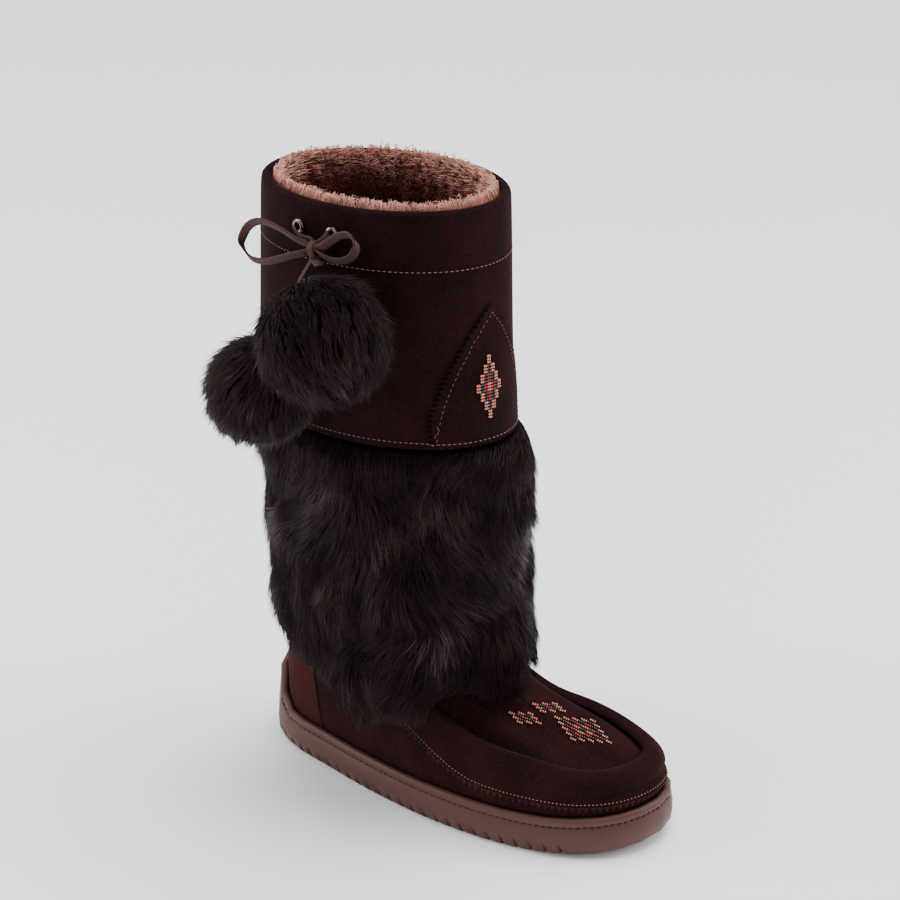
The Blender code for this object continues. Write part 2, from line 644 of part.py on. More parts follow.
def make_fur(outline, grid, names, material, group, cutters):
    """Long fur from the cuff's hem to the instep and heel, its locks raised in staggered rows."""
    columns = LOCKS * LOCK_COLUMNS
    turn = np.arange(columns) / columns
    table = np.array(FUR_HEM + ((1.0, FUR_HEM[0][1]),))
    hem = ANKLE_HEIGHT * np.interp(turn, table[:, 0], table[:, 1])
    top = CUFF_HEM - GAP
    last = FUR_ROWS[-1][0] * CUFF_HEM
    angles = turn_angles(columns)
    rings = []
    for index, (share, centre, half_length, half_width, depth) in enumerate(FUR_ROWS):
        height = top - (top - share * CUFF_HEM) * (top - hem) / (top - last)
        lock = np.cos(2.0 * math.pi * (np.arange(columns) / LOCK_COLUMNS + 0.5 * index))
        if index == 0:
            height = np.full(columns, top)
        else:
            height = height - 0.5 * LOCK_HANG * lock * depth
        rings.append(oval_ring(SHAFT_CENTRE + centre * SHAFT_LENGTH, half_length * SHAFT_LENGTH,
                               half_width * SHAFT_WIDTH, height, angles, LOCK_DEPTH * depth * lock))
    under = oval_ring(SHAFT_CENTRE + centre * SHAFT_LENGTH, UNDERSIDE * half_length * SHAFT_LENGTH,
                      UNDERSIDE * half_width * SHAFT_WIDTH, hem + LOCK_HANG, angles)
    rings.append(under)
    rings.reverse()
    faces = ring_faces(len(rings), columns)
    faces += ladder_faces(0, columns, upwards=False)
    faces += ladder_faces((len(rings) - 1) * columns, columns, upwards=True)
    sleeve = mesh_piece("fur_sleeve", np.vstack(rings), faces, material, group)
    cut(sleeve, leg_form(outline, grid, names, cutters), "DIFFERENCE")
    return sleeve


def pinked_line(start, end):
    """Teeth from one corner of the patch to the next, as points left of the line."""
    start = np.array(start)
    end = np.array(end)
    length = np.linalg.norm(end - start)
    teeth = max(1, round(length / TOOTH_PITCH))
    out = np.array((end[1] - start[1], start[0] - end[0])) / length
    points = []
    for tooth in range(teeth):
        points.append(start + (end - start) * tooth / teeth)
        points.append(start + (end - start) * (tooth + 0.5) / teeth + out * TOOTH_DEPTH)
    return points


def make_patch(material, group, cutters):
    """The pinked patch at the front of the cuff, cut from a larger shell of the same form."""
    bottom = CUFF_HEM + PATCH_RISE
    side = np.array(PATCH_SIDE) * (PATCH_HEIGHT, PATCH_HALF_WIDTH)
    middle = SHAFT_SIDE + PATCH_SHIFT
    right = [(middle + width, bottom + up) for up, width in side]
    apex = (middle, bottom + PATCH_HEIGHT)
    left = [(middle - width, bottom + up) for up, width in reversed(side)]
    corners = right + [apex] + left
    outline = []
    for start, end in zip(corners, corners[1:] + corners[:1]):
        outline += pinked_line(start, end)
    mesh = bmesh.new()
    profile = [np.array((0.0, across, up)) for across, up in outline]
    near = SHAFT_CENTRE + 0.2 * SHAFT_LENGTH
    far = SHAFT_CENTRE + SHAFT_LENGTH
    add_prism(mesh, profile, np.array((near, 0.0, 0.0)), np.array((far, 0.0, 0.0)))
    cutter = add_cutter("patch_cutter", mesh, cutters)

    heights = [CUFF_HEM] + [shaft_height(share) for share in CUFF_SHARES]
    out = 2 * GAP + CUFF_THICKNESS
    front = range(COLUMNS // 2 - COLUMNS // 6, COLUMNS // 2 + COLUMNS // 6 + 1)
    shell = np.array([shaft_ring(height, out)[list(front)] for height in heights])
    patch = mesh_piece("cuff_patch", shell.reshape(-1, 3), strip_faces(len(heights), len(front)),
                       material, group)
    thicken(patch, PATCH_THICKNESS, 1)
    cut(patch, cutter, "INTERSECT")
    return patch


def on_cuff(along_foot, height, out):
    """A place on the outer side of the cuff, with the direction that points away from it."""
    share = (height - ANKLE_HEIGHT) / (BOOT_HEIGHT - ANKLE_HEIGHT)
    centre, half_length, half_width = shaft_oval(share)
    run = (along_foot - centre) / half_length
    away = np.array((run / half_length, -math.sqrt(1.0 - run * run) / half_width, 0.0))
    away /= np.linalg.norm(away)
    flat = np.array((along_foot, SHAFT_SIDE - half_width * math.sqrt(1.0 - run * run), height))
    return flat + away * (CUFF_THICKNESS + GAP + out), away


def make_eyelet(name, along_foot, material, group):
    place, away = on_cuff(along_foot, BOOT_HEIGHT - EYELET_DROP, GAP)
    chamfer = 0.4 * EYELET_THICKNESS
    profile = ((EYELET_BORE, EYELET_THICKNESS), (EYELET_OUTER - 2 * chamfer, EYELET_THICKNESS),
               (EYELET_OUTER, EYELET_THICKNESS - chamfer), (EYELET_OUTER, 0.0), (EYELET_BORE, 0.0))
    mesh = bpy.data.meshes.new(name)
    edges = [(index, (index + 1) % len(profile)) for index in range(len(profile))]
    mesh.from_pydata([(radius, 0.0, height) for radius, height in profile], edges, [])
    mesh.materials.append(material)
    eyelet = bpy.data.objects.new(name, mesh)
    group.objects.link(eyelet)
    turned = eyelet.modifiers.new("turned", "SCREW")
    turned.steps = 16
    turned.render_steps = 16
    turned.use_merge_vertices = True
    turned.merge_threshold = 0.00001
    turned.use_smooth_shade = True
    eyelet.rotation_euler = (0.5 * math.pi, 0.0, math.atan2(away[0], -away[1]))
    eyelet.location = tuple(place)
    return eyelet


def make_knot(material, group):
    mesh = bmesh.new()
    bmesh.ops.create_cube(mesh, size=1.0)
    for vertex in mesh.verts:
        vertex.co = [part * size for part, size in zip(vertex.co, KNOT_SIZE)]
    shape = bpy.data.meshes.new("bow_knot")
    mesh.to_mesh(shape)
    mesh.free()
    shape.materials.append(material)
    shape.shade_smooth()
    knot = bpy.data.objects.new("bow_knot", shape)
    knot.location = [MM * part for part in KNOT_CENTRE]
    group.objects.link(knot)
    rounding = knot.modifiers.new("rounding", "SUBSURF")
    rounding.levels = 2
    rounding.render_levels = 2
    return knot


def make_ribbon(name, route, across, material, group):
    """A flat lace along a route, its width turned the given way."""
    curve = smooth_curve(MM * np.array(route), 8)
    length = along(curve)[-1]
    count = max(4, round(length / LACE_WIDTH) + 1)
    line = at_lengths(curve, np.linspace(0.0, length, count))
    forward = np.gradient(line, axis=0)
    forward /= np.linalg.norm(forward, axis=1)[:, None]
    across = np.array(across)
    wide = across - forward * (forward @ across)[:, None]
    wide /= np.linalg.norm(wide, axis=1)[:, None]
    thick = np.cross(forward, wide)
    half_width = 0.5 * LACE_WIDTH
    half_thick = 0.5 * LACE_THICKNESS
    rings = [np.array([point + side * half_width * a + up * half_thick * b
                       for a, b in ((-1, -1), (1, -1), (1, 1), (-1, 1))])
             for point, side, up in zip(line, wide, thick)]
    faces = ring_faces(count, 4)
    last = 4 * (count - 1)
    faces.append((3, 2, 1, 0))
    faces.append((last, last + 1, last + 2, last + 3))
    return mesh_piece(name, np.vstack(rings), faces, material, group)


def make_ball(name, centre, radius, neighbour, neighbour_radius, material, group):
    """A ball of fur with raised tufts, pressed flat where it lies on the cuff and on its neighbour."""
    mesh = bmesh.new()
    bmesh.ops.create_uvsphere(mesh, u_segments=BALL_COLUMNS, v_segments=BALL_ROWS, radius=1.0)
    centre = MM * np.array(centre)
    toward = MM * np.array(neighbour) - centre
    between = np.linalg.norm(toward)
    toward /= between
    limit = between * radius / (radius + neighbour_radius) - 2 * GAP
    for vertex in mesh.verts:
        direction = np.array(vertex.co)
        ring = round(math.acos(max(-1.0, min(1.0, direction[2]))) / math.pi * BALL_ROWS)
        step = round(math.atan2(direction[1], direction[0]) / (2.0 * math.pi) * BALL_COLUMNS)
        tuft = TUFT_DEPTH if (ring + step) % 2 else 0.0
        point = centre + direction * (radius + tuft)
        beyond = (point - centre) @ toward - limit
        if beyond > 0.0:
            point -= toward * beyond
        vertex.co = keep_off_leg(point)
    shape = bpy.data.meshes.new(name)
    mesh.to_mesh(shape)
    mesh.free()
    shape.materials.append(material)
    ball = bpy.data.objects.new(name, shape)
    group.objects.link(ball)
    return ball


def keep_off_leg(point):
    """Moves a point that lies inside the cuff or the fur out to just in front of it."""
    share = (max(point[2], CUFF_HEM) - ANKLE_HEIGHT) / (BOOT_HEIGHT - ANKLE_HEIGHT)
    centre, half_length, half_width = shaft_oval(share)
    cover = CUFF_THICKNESS + 2 * GAP
    if point[2] < CUFF_HEM + LOCK_DEPTH:
        cover += 2 * LOCK_DEPTH
    run = (point[0] - centre) / (half_length + cover)
    if abs(run) < 1.0:
        surface = SHAFT_SIDE - (half_width + cover) * math.sqrt(1.0 - run * run)
        point[1] = min(point[1], surface - GAP)
    return point


def main():
    for old in list(bpy.data.objects):
        bpy.data.objects.remove(old, do_unlink=True)
    boot = new_collection("mukluk_boot")
    cutters = new_collection("cutters")

    rubber = finish("moulded_rubber", (0.19, 0.10, 0.08), 0.5)
    suede = finish("chocolate_suede", (0.024, 0.010, 0.008), 0.95)
    rand_suede = finish("wrap_suede", (0.028, 0.011, 0.009), 0.95)
    cuff_suede = finish("cuff_suede", (0.026, 0.010, 0.009), 0.95)
    patch_suede = finish("patch_suede", (0.020, 0.008, 0.007), 0.95)
    fur = finish("rabbit_fur", (0.012, 0.009, 0.010), 0.8)
    felt = finish("insole_pile", (0.36, 0.18, 0.14), 0.95)
    braid = finish("woven_lace", (0.09, 0.06, 0.055), 0.8)
    metal = finish("dark_metal", (0.05, 0.04, 0.04), 0.35, metallic=1.0)

    outline = Outline(COLUMNS)
    grid, names = upper_grid(outline)
    make_outsole(outline, rubber, boot, cutters)
    make_insole(outline, felt, boot)
    make_upper(grid, suede, boot)
    make_wrap(outline, grid, names, rand_suede, boot)
    make_cuff(cuff_suede, boot)
    make_fur(outline, grid, names, fur, boot, cutters)
    make_patch(patch_suede, boot, cutters)
    for name, side in (("eyelet_rear", -0.5), ("eyelet_front", 0.5)):
        make_eyelet(name, EYELET_CENTRE + side * EYELET_SPACING, metal, boot)
    make_knot(braid, boot)
    for name, route in LACE_ROUTES.items():
        make_ribbon(name, route, TAIL_ACROSS.get(name, BOW_ACROSS), braid, boot)
    make_ball("pompom_front", FRONT_BALL, FRONT_BALL_RADIUS, REAR_BALL, REAR_BALL_RADIUS, fur, boot)
    make_ball("pompom_rear", REAR_BALL, REAR_BALL_RADIUS, FRONT_BALL, FRONT_BALL_RADIUS, fur, boot)


main()
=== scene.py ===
import math

import bpy
import numpy as np
from mathutils import Matrix, Vector
from mathutils.bvhtree import BVHTree
from mathutils.kdtree import KDTree


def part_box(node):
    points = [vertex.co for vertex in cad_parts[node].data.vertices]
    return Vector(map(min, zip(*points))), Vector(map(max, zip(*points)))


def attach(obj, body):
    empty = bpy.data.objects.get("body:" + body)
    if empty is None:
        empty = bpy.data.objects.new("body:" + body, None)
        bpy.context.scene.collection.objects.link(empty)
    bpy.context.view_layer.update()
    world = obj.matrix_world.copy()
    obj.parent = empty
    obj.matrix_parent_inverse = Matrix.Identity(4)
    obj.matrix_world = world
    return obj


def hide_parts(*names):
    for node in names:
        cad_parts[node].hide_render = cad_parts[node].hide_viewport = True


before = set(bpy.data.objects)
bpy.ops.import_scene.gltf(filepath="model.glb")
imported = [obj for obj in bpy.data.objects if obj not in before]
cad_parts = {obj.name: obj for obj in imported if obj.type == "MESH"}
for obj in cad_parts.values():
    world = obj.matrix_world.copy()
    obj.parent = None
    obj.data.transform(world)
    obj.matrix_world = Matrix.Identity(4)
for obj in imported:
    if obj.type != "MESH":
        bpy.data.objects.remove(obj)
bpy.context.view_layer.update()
chance = np.random.default_rng(11)
mm = 0.001


# camera

camera = {
    "place": (0.8257, -1.0277, 0.7646),
    "right": (0.8073, 0.5900, 0.0106),
    "up": (-0.2403, 0.3123, 0.9191),
    "lens": 92.21,          # on a sensor 36 mm wide
    "frame": 900,           # pixels of the photo, for places read off it
}


def cameraAxes():
    right = Vector(camera["right"]).normalized()
    up = Vector(camera["up"])
    up = (up - right * up.dot(right)).normalized()
    return right, up, right.cross(up)


def makeCamera():
    right, up, back = cameraAxes()
    data = bpy.data.cameras.new("photoCamera")
    data.lens = camera["lens"]
    data.sensor_width = 36
    eye = addObject("photoCamera", data)
    eye.matrix_world = Matrix.Translation(camera["place"]) @ Matrix((right, up, back)).transposed().to_4x4()
    bpy.context.scene.camera = eye


# direction from the camera through a pixel of the photo
def pixelRay(across, down):
    right, up, back = cameraAxes()
    half = camera["frame"] / 2
    reach = camera["lens"] / 36 * camera["frame"]
    return (right * (across - half) + up * (half - down) - back * reach).normalized()


# small tools

def toLinear(hexColour):
    parts = [int(hexColour[i:i + 2], 16) / 255 for i in (1, 3, 5)]
    return [p / 12.92 if p <= 0.04045 else ((p + 0.055) / 1.055) ** 2.4 for p in parts] + [1.0]


# adds a shader node, with its settings and the sockets that feed it
def addNode(material, kind, settings=(), links=()):
    tree = material.node_tree
    node = tree.nodes.new("ShaderNode" + kind)
    for name, value in dict(settings).items():
        if isinstance(name, int) or name in node.inputs:
            node.inputs[name].default_value = value
        else:
            setattr(node, name, value)
    for name, source in dict(links).items():
        tree.links.new(source, node.inputs[name])
    return node


# arithmetic on numbers and sockets
def reckon(material, operation, *terms):
    values = {i: t for i, t in enumerate(terms) if isinstance(t, (int, float))}
    sources = {i: t for i, t in enumerate(terms) if i not in values}
    return addNode(material, "Math", {"operation": operation, **values}, sources).outputs[0]


# a socket's range spread over 0 to 1
def spreadOut(material, source, low, high):
    return addNode(material, "MapRange", {"From Min": low, "From Max": high}, {"Value": source}).outputs[0]


# two colours mixed, each a value or a socket
def mixColours(material, share, first, second):
    terms = {6: first, 7: second}
    values = {i: t for i, t in terms.items() if isinstance(t, list)}
    sources = {i: t for i, t in terms.items() if i not in values}
    return addNode(material, "Mix", {"data_type": "RGBA", **values}, {0: share, **sources}).outputs[2]


def noiseOver(material, size, detail):
    place = addNode(material, "TexCoord").outputs["Object"]
    noise = addNode(material, "TexNoise", {"Scale": 1 / size, "Detail": detail}, {"Vector": place})
    return noise.outputs["Fac"]


def feed(shader, name, source):
    shader.id_data.links.new(source, shader.inputs[name])


def addBump(material, shader, height, strength, depth):
    bump = addNode(material, "Bump", {"Strength": strength, "Distance": depth}, {"Height": height})
    feed(shader, "Normal", bump.outputs[0])


def newMaterial(name, colour, roughness, settings=()):
    material = bpy.data.materials.new(name)
    material.use_nodes = True
    shader = material.node_tree.nodes["Principled BSDF"]
    shader.inputs["Base Color"].default_value = toLinear(colour)
    shader.inputs["Roughness"].default_value = roughness
    for socket, value in dict(settings).items():
        shader.inputs[socket].default_value = value
    return material, shader


def selectOnly(piece):
    bpy.ops.object.select_all(action="DESELECT")
    piece.select_set(True)
    bpy.context.view_layer.objects.active = piece


def pointsOf(mesh):
    points = np.empty(len(mesh.vertices) * 3, np.float32)
    mesh.vertices.foreach_get("co", points)
    return points.reshape(-1, 3).astype(float)


def movePoints(mesh, points):
    mesh.vertices.foreach_set("co", points.astype(np.float32).ravel())
    mesh.update()


# each point's own shade, read by the hair material
def setShade(mesh, values):
    layer = mesh.attributes.new("shade", "FLOAT", "POINT")
    layer.data.foreach_set("value", np.asarray(values, np.float32).ravel())


def addObject(name, data):
    piece = bpy.data.objects.new(name, data)
    bpy.context.scene.collection.objects.link(piece)
    return piece


# a mesh from arrays: faces is an array of triangles or of quads
def meshPiece(name, points, faces, material):
    mesh = bpy.data.meshes.new(name)
    points = np.asarray(points, np.float32)
    faces = np.asarray(faces, np.int32)
    sides = faces.shape[1]
    mesh.vertices.add(len(points))
    mesh.vertices.foreach_set("co", points.ravel())
    mesh.loops.add(faces.size)
    mesh.loops.foreach_set("vertex_index", faces.ravel())
    mesh.polygons.add(len(faces))
    mesh.polygons.foreach_set("loop_start", np.arange(len(faces), dtype=np.int32) * sides)
    mesh.polygons.foreach_set("use_smooth", np.full(len(faces), True))
    mesh.update(calc_edges=True)
    mesh.validate()
    mesh.materials.append(material)
    return addObject(name, mesh)


# quads between rings of points, the last ring joined to the first where it is closed
def tubeFaces(rings, sides, closed=False):
    ring, side = np.divmod(np.arange((rings if closed else rings - 1) * sides), sides)
    follow, above = (side + 1) % sides, (ring + 1) % rings
    return np.stack([ring * sides + side, ring * sides + follow, above * sides + follow,
                     above * sides + side], 1)


def finishPiece(piece, slot, *nodes):
    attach(piece, "root")
    if nodes:
        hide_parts(*nodes)


# one search tree over the given pieces or CAD nodes
def treeOf(*names):
    points, faces = [], []
    for name in names:
        mesh = (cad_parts.get(name) or bpy.data.objects[name]).data
        start = len(points)
        points += [tuple(v.co) for v in mesh.vertices]
        faces += [tuple(start + i for i in p.vertices) for p in mesh.polygons]
    return BVHTree.FromPolygons(points, faces)


# moves those of the points marked near that lie under a surface out over it
def keepOutside(points, tree, near, least, most):
    points = points.copy()
    for index in np.nonzero(near)[0]:
        place = Vector(points[index])
        hit, normal, _, _ = tree.find_nearest(place)
        if (place - hit).dot(normal) < least:
            points[index] = hit + normal * chance.uniform(least, most)
    return points


def unit(vectors):
    return vectors / np.maximum(np.linalg.norm(vectors, axis=-1, keepdims=True), 1e-9)


def wayAt(turn):
    return Vector((math.cos(turn), math.sin(turn), 0))


# the smaller way round between two directions
def turnBetween(start, end):
    return np.angle(np.exp(1j * (end - start)))


# the plan middle of a CAD node
def middleOf(node):
    low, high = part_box(node)
    return (low.x + high.x) / 2, (low.y + high.y) / 2


# direction and distance of points from an upright axis
def planPolar(points, centre):
    x, y = points[:, 0] - centre[0], points[:, 1] - centre[1]
    return np.arctan2(y, x), np.hypot(x, y)


def smoothRound(values):
    return (np.roll(values, 1) + values + np.roll(values, -1)) / 3


# reads values of even directions at any turn
def readRound(values, turn):
    turns = np.arange(len(values) + 1) * math.tau / len(values)
    return np.interp(np.mod(turn, math.tau), turns, np.r_[values, values[0]])


# surface points and their normals round an upright axis, at the given heights and directions
def ringOn(tree, centre, heights, turns):
    line, normals = [], []
    for height, turn in zip(heights, turns):
        way = wayAt(turn)
        hit, normal = tree.ray_cast(Vector((*centre, height)) + way * 0.3, -way)[:2]
        if hit is not None:
            line.append(tuple(hit))
            normals.append(tuple(normal))
    return np.array(line), np.array(normals)


# the first of the heights at which there is a surface, in each direction
def firstHeights(tree, centre, turns, heights):
    found = []
    for turn in turns:
        way = wayAt(turn)
        hits = (h for h in heights
                if tree.ray_cast(Vector((*centre, h)) + way * 0.3, -way, 0.29)[0] is not None)
        found.append(next(hits, heights[-1]))
    return np.array(found)


# for each place, the nearest of some clumps, by turn and height
def nearestClumps(clumpTurns, clumpHeights, turns, heights, radius):
    tree = KDTree(len(clumpTurns))
    for i, (turn, height) in enumerate(zip(clumpTurns, clumpHeights)):
        tree.insert((turn * radius, height, 0), i)
    tree.balance()
    return np.array([tree.find((t * radius, h, 0))[1] for t, h in zip(turns, heights)])


# a smooth open curve through the points, with so many steps between two of them
def smoothCurve(points, fine):
    points = np.array(points, float)
    points = np.vstack([2 * points[0] - points[1], points, 2 * points[-1] - points[-2]])
    step = np.linalg.norm(np.diff(points, axis=0), axis=1)[:, None]
    slope = np.diff(points, axis=0) / step
    tangent = (slope[1:] * step[:-1] + slope[:-1] * step[1:]) / (step[1:] + step[:-1])
    s = np.linspace(0, 1, fine, endpoint=False)[:, None]
    parts = []
    for i in range(len(tangent) - 1):
        parts.append((2 * s**3 - 3 * s**2 + 1) * points[i + 1] + (3 * s**2 - 2 * s**3) * points[i + 2]
                     + (s**3 - 2 * s**2 + s) * step[i + 1] * tangent[i]
                     + (s**3 - s**2) * step[i + 1] * tangent[i + 1])
    parts.append(points[-2:-1])
    return np.vstack(parts)


def lengthsOf(curve):
    return np.r_[0, np.cumsum(np.linalg.norm(np.diff(curve, axis=0), axis=1))]


# points every pitch along a curve, with any further columns read at the same places
def evenly(curve, pitch, *more):
    along = lengthsOf(curve)
    count = max(2, int(round(along[-1] / pitch)) + 1)
    places = np.linspace(0, along[-1], count)
    return [np.stack([np.interp(places, along, c) for c in np.transpose(a)], 1) for a in (curve, *more)]


# slow waves over a surface, about -1 to 1. size is the length of the longest wave
def softNoise(across, up, size, seed):
    rng = np.random.default_rng(seed)
    total = np.zeros(np.shape(across))
    for octave in range(3):
        for _ in range(3):
            turn = rng.uniform(0, math.tau)
            wave = math.tau / size * (1.7 ** octave)
            total += np.sin(wave * (across * math.cos(turn) + up * math.sin(turn))
                            + rng.uniform(0, 6.28)) / (1.4 ** octave)
    return total / 5


# suede, tanned and brushed: a dull nap that catches light at its edges and in patches

suede = {
    "nap": 1.6 * mm,            # grain, coarser than life so that it shows
    "patch": 30 * mm,           # stroked patches
    "cuff": ("#230f10", "#0f0506"),     # light and dark
    "foot": ("#281213", "#140809"),
    "heel": "#42201e",          # the panel round the heel is redder
    "seamPixels": ((315, 680), (325, 737)),     # its front seam, top and bottom
    "welt": (1.7 * mm, 0.9 * mm),       # width and thickness of the strip on it
}


# matt, with soft lighter and darker strokes and a fine grain
def makeSuede(name, light, dark):
    material, shader = newMaterial(name, light, 0.95, {
        "Sheen Weight": 0.07, "Sheen Roughness": 0.4, "Sheen Tint": toLinear("#a86a5e"),
        "Specular IOR Level": 0.06})
    grain = noiseOver(material, suede["nap"], 4)
    both = reckon(material, "ADD", grain, noiseOver(material, suede["patch"], 3))
    colour = mixColours(material, spreadOut(material, both, 0.72, 1.28), toLinear(dark), toLinear(light))
    feed(shader, "Base Color", colour)
    addBump(material, shader, grain, 0.6, 0.35 * mm)
    return material, colour


# turns the suede behind a leaning line redder
def addHeelPanel(material, colour, top, bottom):
    place = addNode(material, "TexCoord").outputs["Object"]
    x, _, z = addNode(material, "SeparateXYZ", (), {0: place}).outputs
    lean = (top[0] - bottom[0]) / (top[2] - bottom[2])
    line = reckon(material, "MULTIPLY_ADD", z, lean, bottom[0] - lean * bottom[2])
    share = reckon(material, "MULTIPLY", reckon(material, "LESS_THAN", x, line), 0.45)
    panel = mixColours(material, share, colour, toLinear(suede["heel"]))
    feed(material.node_tree.nodes["Principled BSDF"], "Base Color", panel)


# a merged copy of a CAD node, rounded by subdivision with its sharp edges held
def dressedCopy(node, name, material, levels=0, crease=0.0):
    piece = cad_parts[node].copy()
    piece.data = piece.data.copy()
    piece.parent = None
    piece.name = name
    for key in list(piece.keys()):
        del piece[key]
    bpy.context.scene.collection.objects.link(piece)
    piece.data.materials.clear()
    piece.data.materials.append(material)
    selectOnly(piece)
    bpy.ops.object.mode_set(mode="EDIT")
    bpy.ops.mesh.select_mode(type="EDGE")
    bpy.ops.mesh.select_all(action="SELECT")
    bpy.ops.mesh.remove_doubles(threshold=0.01 * mm)
    if levels:
        bpy.ops.mesh.tris_convert_to_quads(face_threshold=math.radians(50), shape_threshold=math.radians(150))
        bpy.ops.mesh.select_all(action="DESELECT")
        bpy.ops.mesh.edges_select_sharp(sharpness=math.radians(50))
        bpy.ops.transform.edge_crease(value=crease)
    bpy.ops.object.mode_set(mode="OBJECT")
    if levels:
        rounding = piece.modifiers.new("rounding", "SUBSURF")
        rounding.levels = levels
        rounding.render_levels = levels
        bpy.ops.object.modifier_apply(modifier="rounding")
    bpy.ops.object.shade_smooth_by_angle(angle=math.radians(40))
    return piece


def makeLeather():
    suedeSkin, _ = makeSuede("brushedSuede", *suede["cuff"])
    rimSkin, _ = makeSuede("brushedSuedeFoot", *suede["foot"])
    footSkin, footColour = makeSuede("brushedSuedeHeel", *suede["foot"])
    ends = heelSeamEnds()
    addHeelPanel(footSkin, footColour, *ends)
    pieces = (
        ("upper", "footUpper", footSkin, 2, 0.3, "upper_suede"),
        ("moccasin_wrap", "toeWrap", rimSkin, 2, 0.7, "wrap_suede"),
        ("cuff", "turnedCuff", suedeSkin, 1, 0.9, "cuff_suede"),
        ("cuff_patch", "pinkedPatch", suedeSkin, 0, 0.0, "patch_suede"),
    )
    for node, name, material, levels, crease, slot in pieces:
        finishPiece(dressedCopy(node, name, material, levels, crease), slot, node)
    followCuff(bpy.data.objects["pinkedPatch"])
    foldWrap(bpy.data.objects["toeWrap"])
    makeHeelSeams(rimSkin, *ends)
    print("leather done")


# presses the fold under the bolster into the wrap, all round the toe
def foldWrap(piece):
    count = 72
    points = pointsOf(piece.data)
    turn, away = planPolar(points, pinking["middle"])
    columns = np.floor(np.mod(turn, math.tau) / math.tau * count).astype(int)
    heights = [points[columns == c, 2] for c in range(count)]
    lowest = np.array([h.min() if len(h) else np.nan for h in heights])
    lowest = np.where(np.isnan(lowest), np.nanmax(lowest), lowest)
    above = points[:, 2] - readRound(smoothRound(lowest), turn - math.pi / count)
    band = np.exp(-((above - pinking["fold"]) / pinking["foldHalf"]) ** 2)
    ahead = np.clip(1.2 - np.abs(turn) / 1.4, 0, 1)
    press = (pinking["press"] * band * ahead / away)[:, None]
    points[:, :2] -= (points[:, :2] - np.array(pinking["middle"])) * press
    movePoints(piece.data, points)


# where the heel panel's front seam starts and ends on the outer side
def heelSeamEnds():
    tree = treeOf("upper")
    return [tree.ray_cast(Vector(camera["place"]), pixelRay(*pixel))[0] for pixel in suede["seamPixels"]]


# a narrow welt down each side of the heel
def makeHeelSeams(material, top, bottom):
    tree = treeOf("footUpper")
    for name, side in (("Outer", -1), ("Inner", 1)):
        line, normals = [], []
        for share in np.linspace(-0.25, 1.1, 28):
            place = top.lerp(bottom, share)
            hit, normal = tree.ray_cast(Vector((place.x, side * 0.2, place.z)), Vector((0, -side, 0)))[:2]
            if hit is not None:
                line.append(tuple(hit + normal * 0.1 * mm))
                normals.append(tuple(normal))
        line = np.array(line)
        across = np.cross(np.gradient(line, axis=0), normals)
        seam = tapePiece("heelSeam" + name, line, unit(across), *suede["welt"], material)
        finishPiece(seam, "upper_suede")


# shades the patch's face like the cuff under it, so that its long triangles don't show
def followCuff(piece):
    tree = treeOf("cuff")
    axis = middleOf("cuff")
    mesh = piece.data
    normals = [(0, 0, 0)] * len(mesh.loops)
    for face in mesh.polygons:
        if face.normal.dot(tree.find_nearest(face.center)[1]) > 0.8:
            for loop in face.loop_indices:
                place = mesh.vertices[mesh.loops[loop].vertex_index].co
                way = Vector((place.x - axis[0], place.y - axis[1], 0)).normalized()
                aside = Vector((way.y, -way.x, 0)) * mm
                near = [tree.find_nearest(place + aside * shift)[1] for shift in (-4, 0, 4)]
                normals[loop] = tuple(sum(near, Vector()).normalized())
    mesh.normals_split_custom_set(normals)


# moulded rubber: an even satin skin with a very fine stipple

rubber = {"colour": "#4c3029", "stipple": 0.5 * mm, "roughness": 0.48, "gloss": 0.26}


def makeSole():
    material, shader = newMaterial("mouldedRubber", rubber["colour"], rubber["roughness"],
                                   {"Specular IOR Level": rubber["gloss"]})
    addBump(material, shader, noiseOver(material, rubber["stipple"], 2), 0.2, 0.1 * mm)
    finishPiece(dressedCopy("outsole", "cupSole", material), "sole_rubber", "outsole")
    print("sole done")


# fur

fur = {
    "dark": "#080405",
    "middle": "#2a1b1d",
    "light": "#7a666b",
    "roughness": 0.42,
    "axis": (0.047, -0.004),    # upright axis inside the shaft
    "girth": 70 * mm,           # radius at which the turn is laid out flat
    "swirl": 1.0,               # how far the hair turns from straight down
    "waves": (110 * mm, 45 * mm),   # in long and short waves
    "lumps": 4.5 * mm,          # how far it stands out in tufts
    "tuft": 50 * mm,            # and their size
    "streak": 60 * mm,          # size of the lighter and darker parts
    "width": 0.22 * mm,         # a lock of hairs, thicker than one hair so that it shows
    "length": 24 * mm,
    "pile": 9 * mm,             # depth of the fur over the skin
    "count": 53000,
    "pieces": 3,
    "clumps": 1500,
    "gather": 0.36,             # how far tips draw together in clumps
    "hang": 8 * mm,             # below the hem
    "back": 3.0 * mm,           # it stands out further at the outer side of the back
    "backTurn": math.radians(216),
    "wool": 6.5 * mm,           # the wool lies this deep under the fur's outside,
    "woolHem": (9 * mm, 7 * mm),    # this far above the hem, and further in front
    "footTop": (0.115, 0.105),  # heights below which the hair is kept off the foot
}


# hair: soft shine along the strands, each of its own shade and dark at its root
def makeFurMaterial(name, dark, middle, light, roughness):
    material, shader = newMaterial(name, middle, roughness, {"Specular IOR Level": 0.2})
    shader.inputs["Specular Tint"].default_value = toLinear("#e8c0c4")
    shade = addNode(material, "Attribute", {"attribute_name": "shade"})
    ramp = addNode(material, "ValToRGB", (), {"Fac": shade.outputs["Fac"]})
    stops = ramp.color_ramp.elements
    stops[0].color = toLinear(dark)
    stops[1].color = toLinear(light)
    stops.new(0.5).color = toLinear(middle)
    feed(shader, "Base Color", ramp.outputs["Color"])
    return material


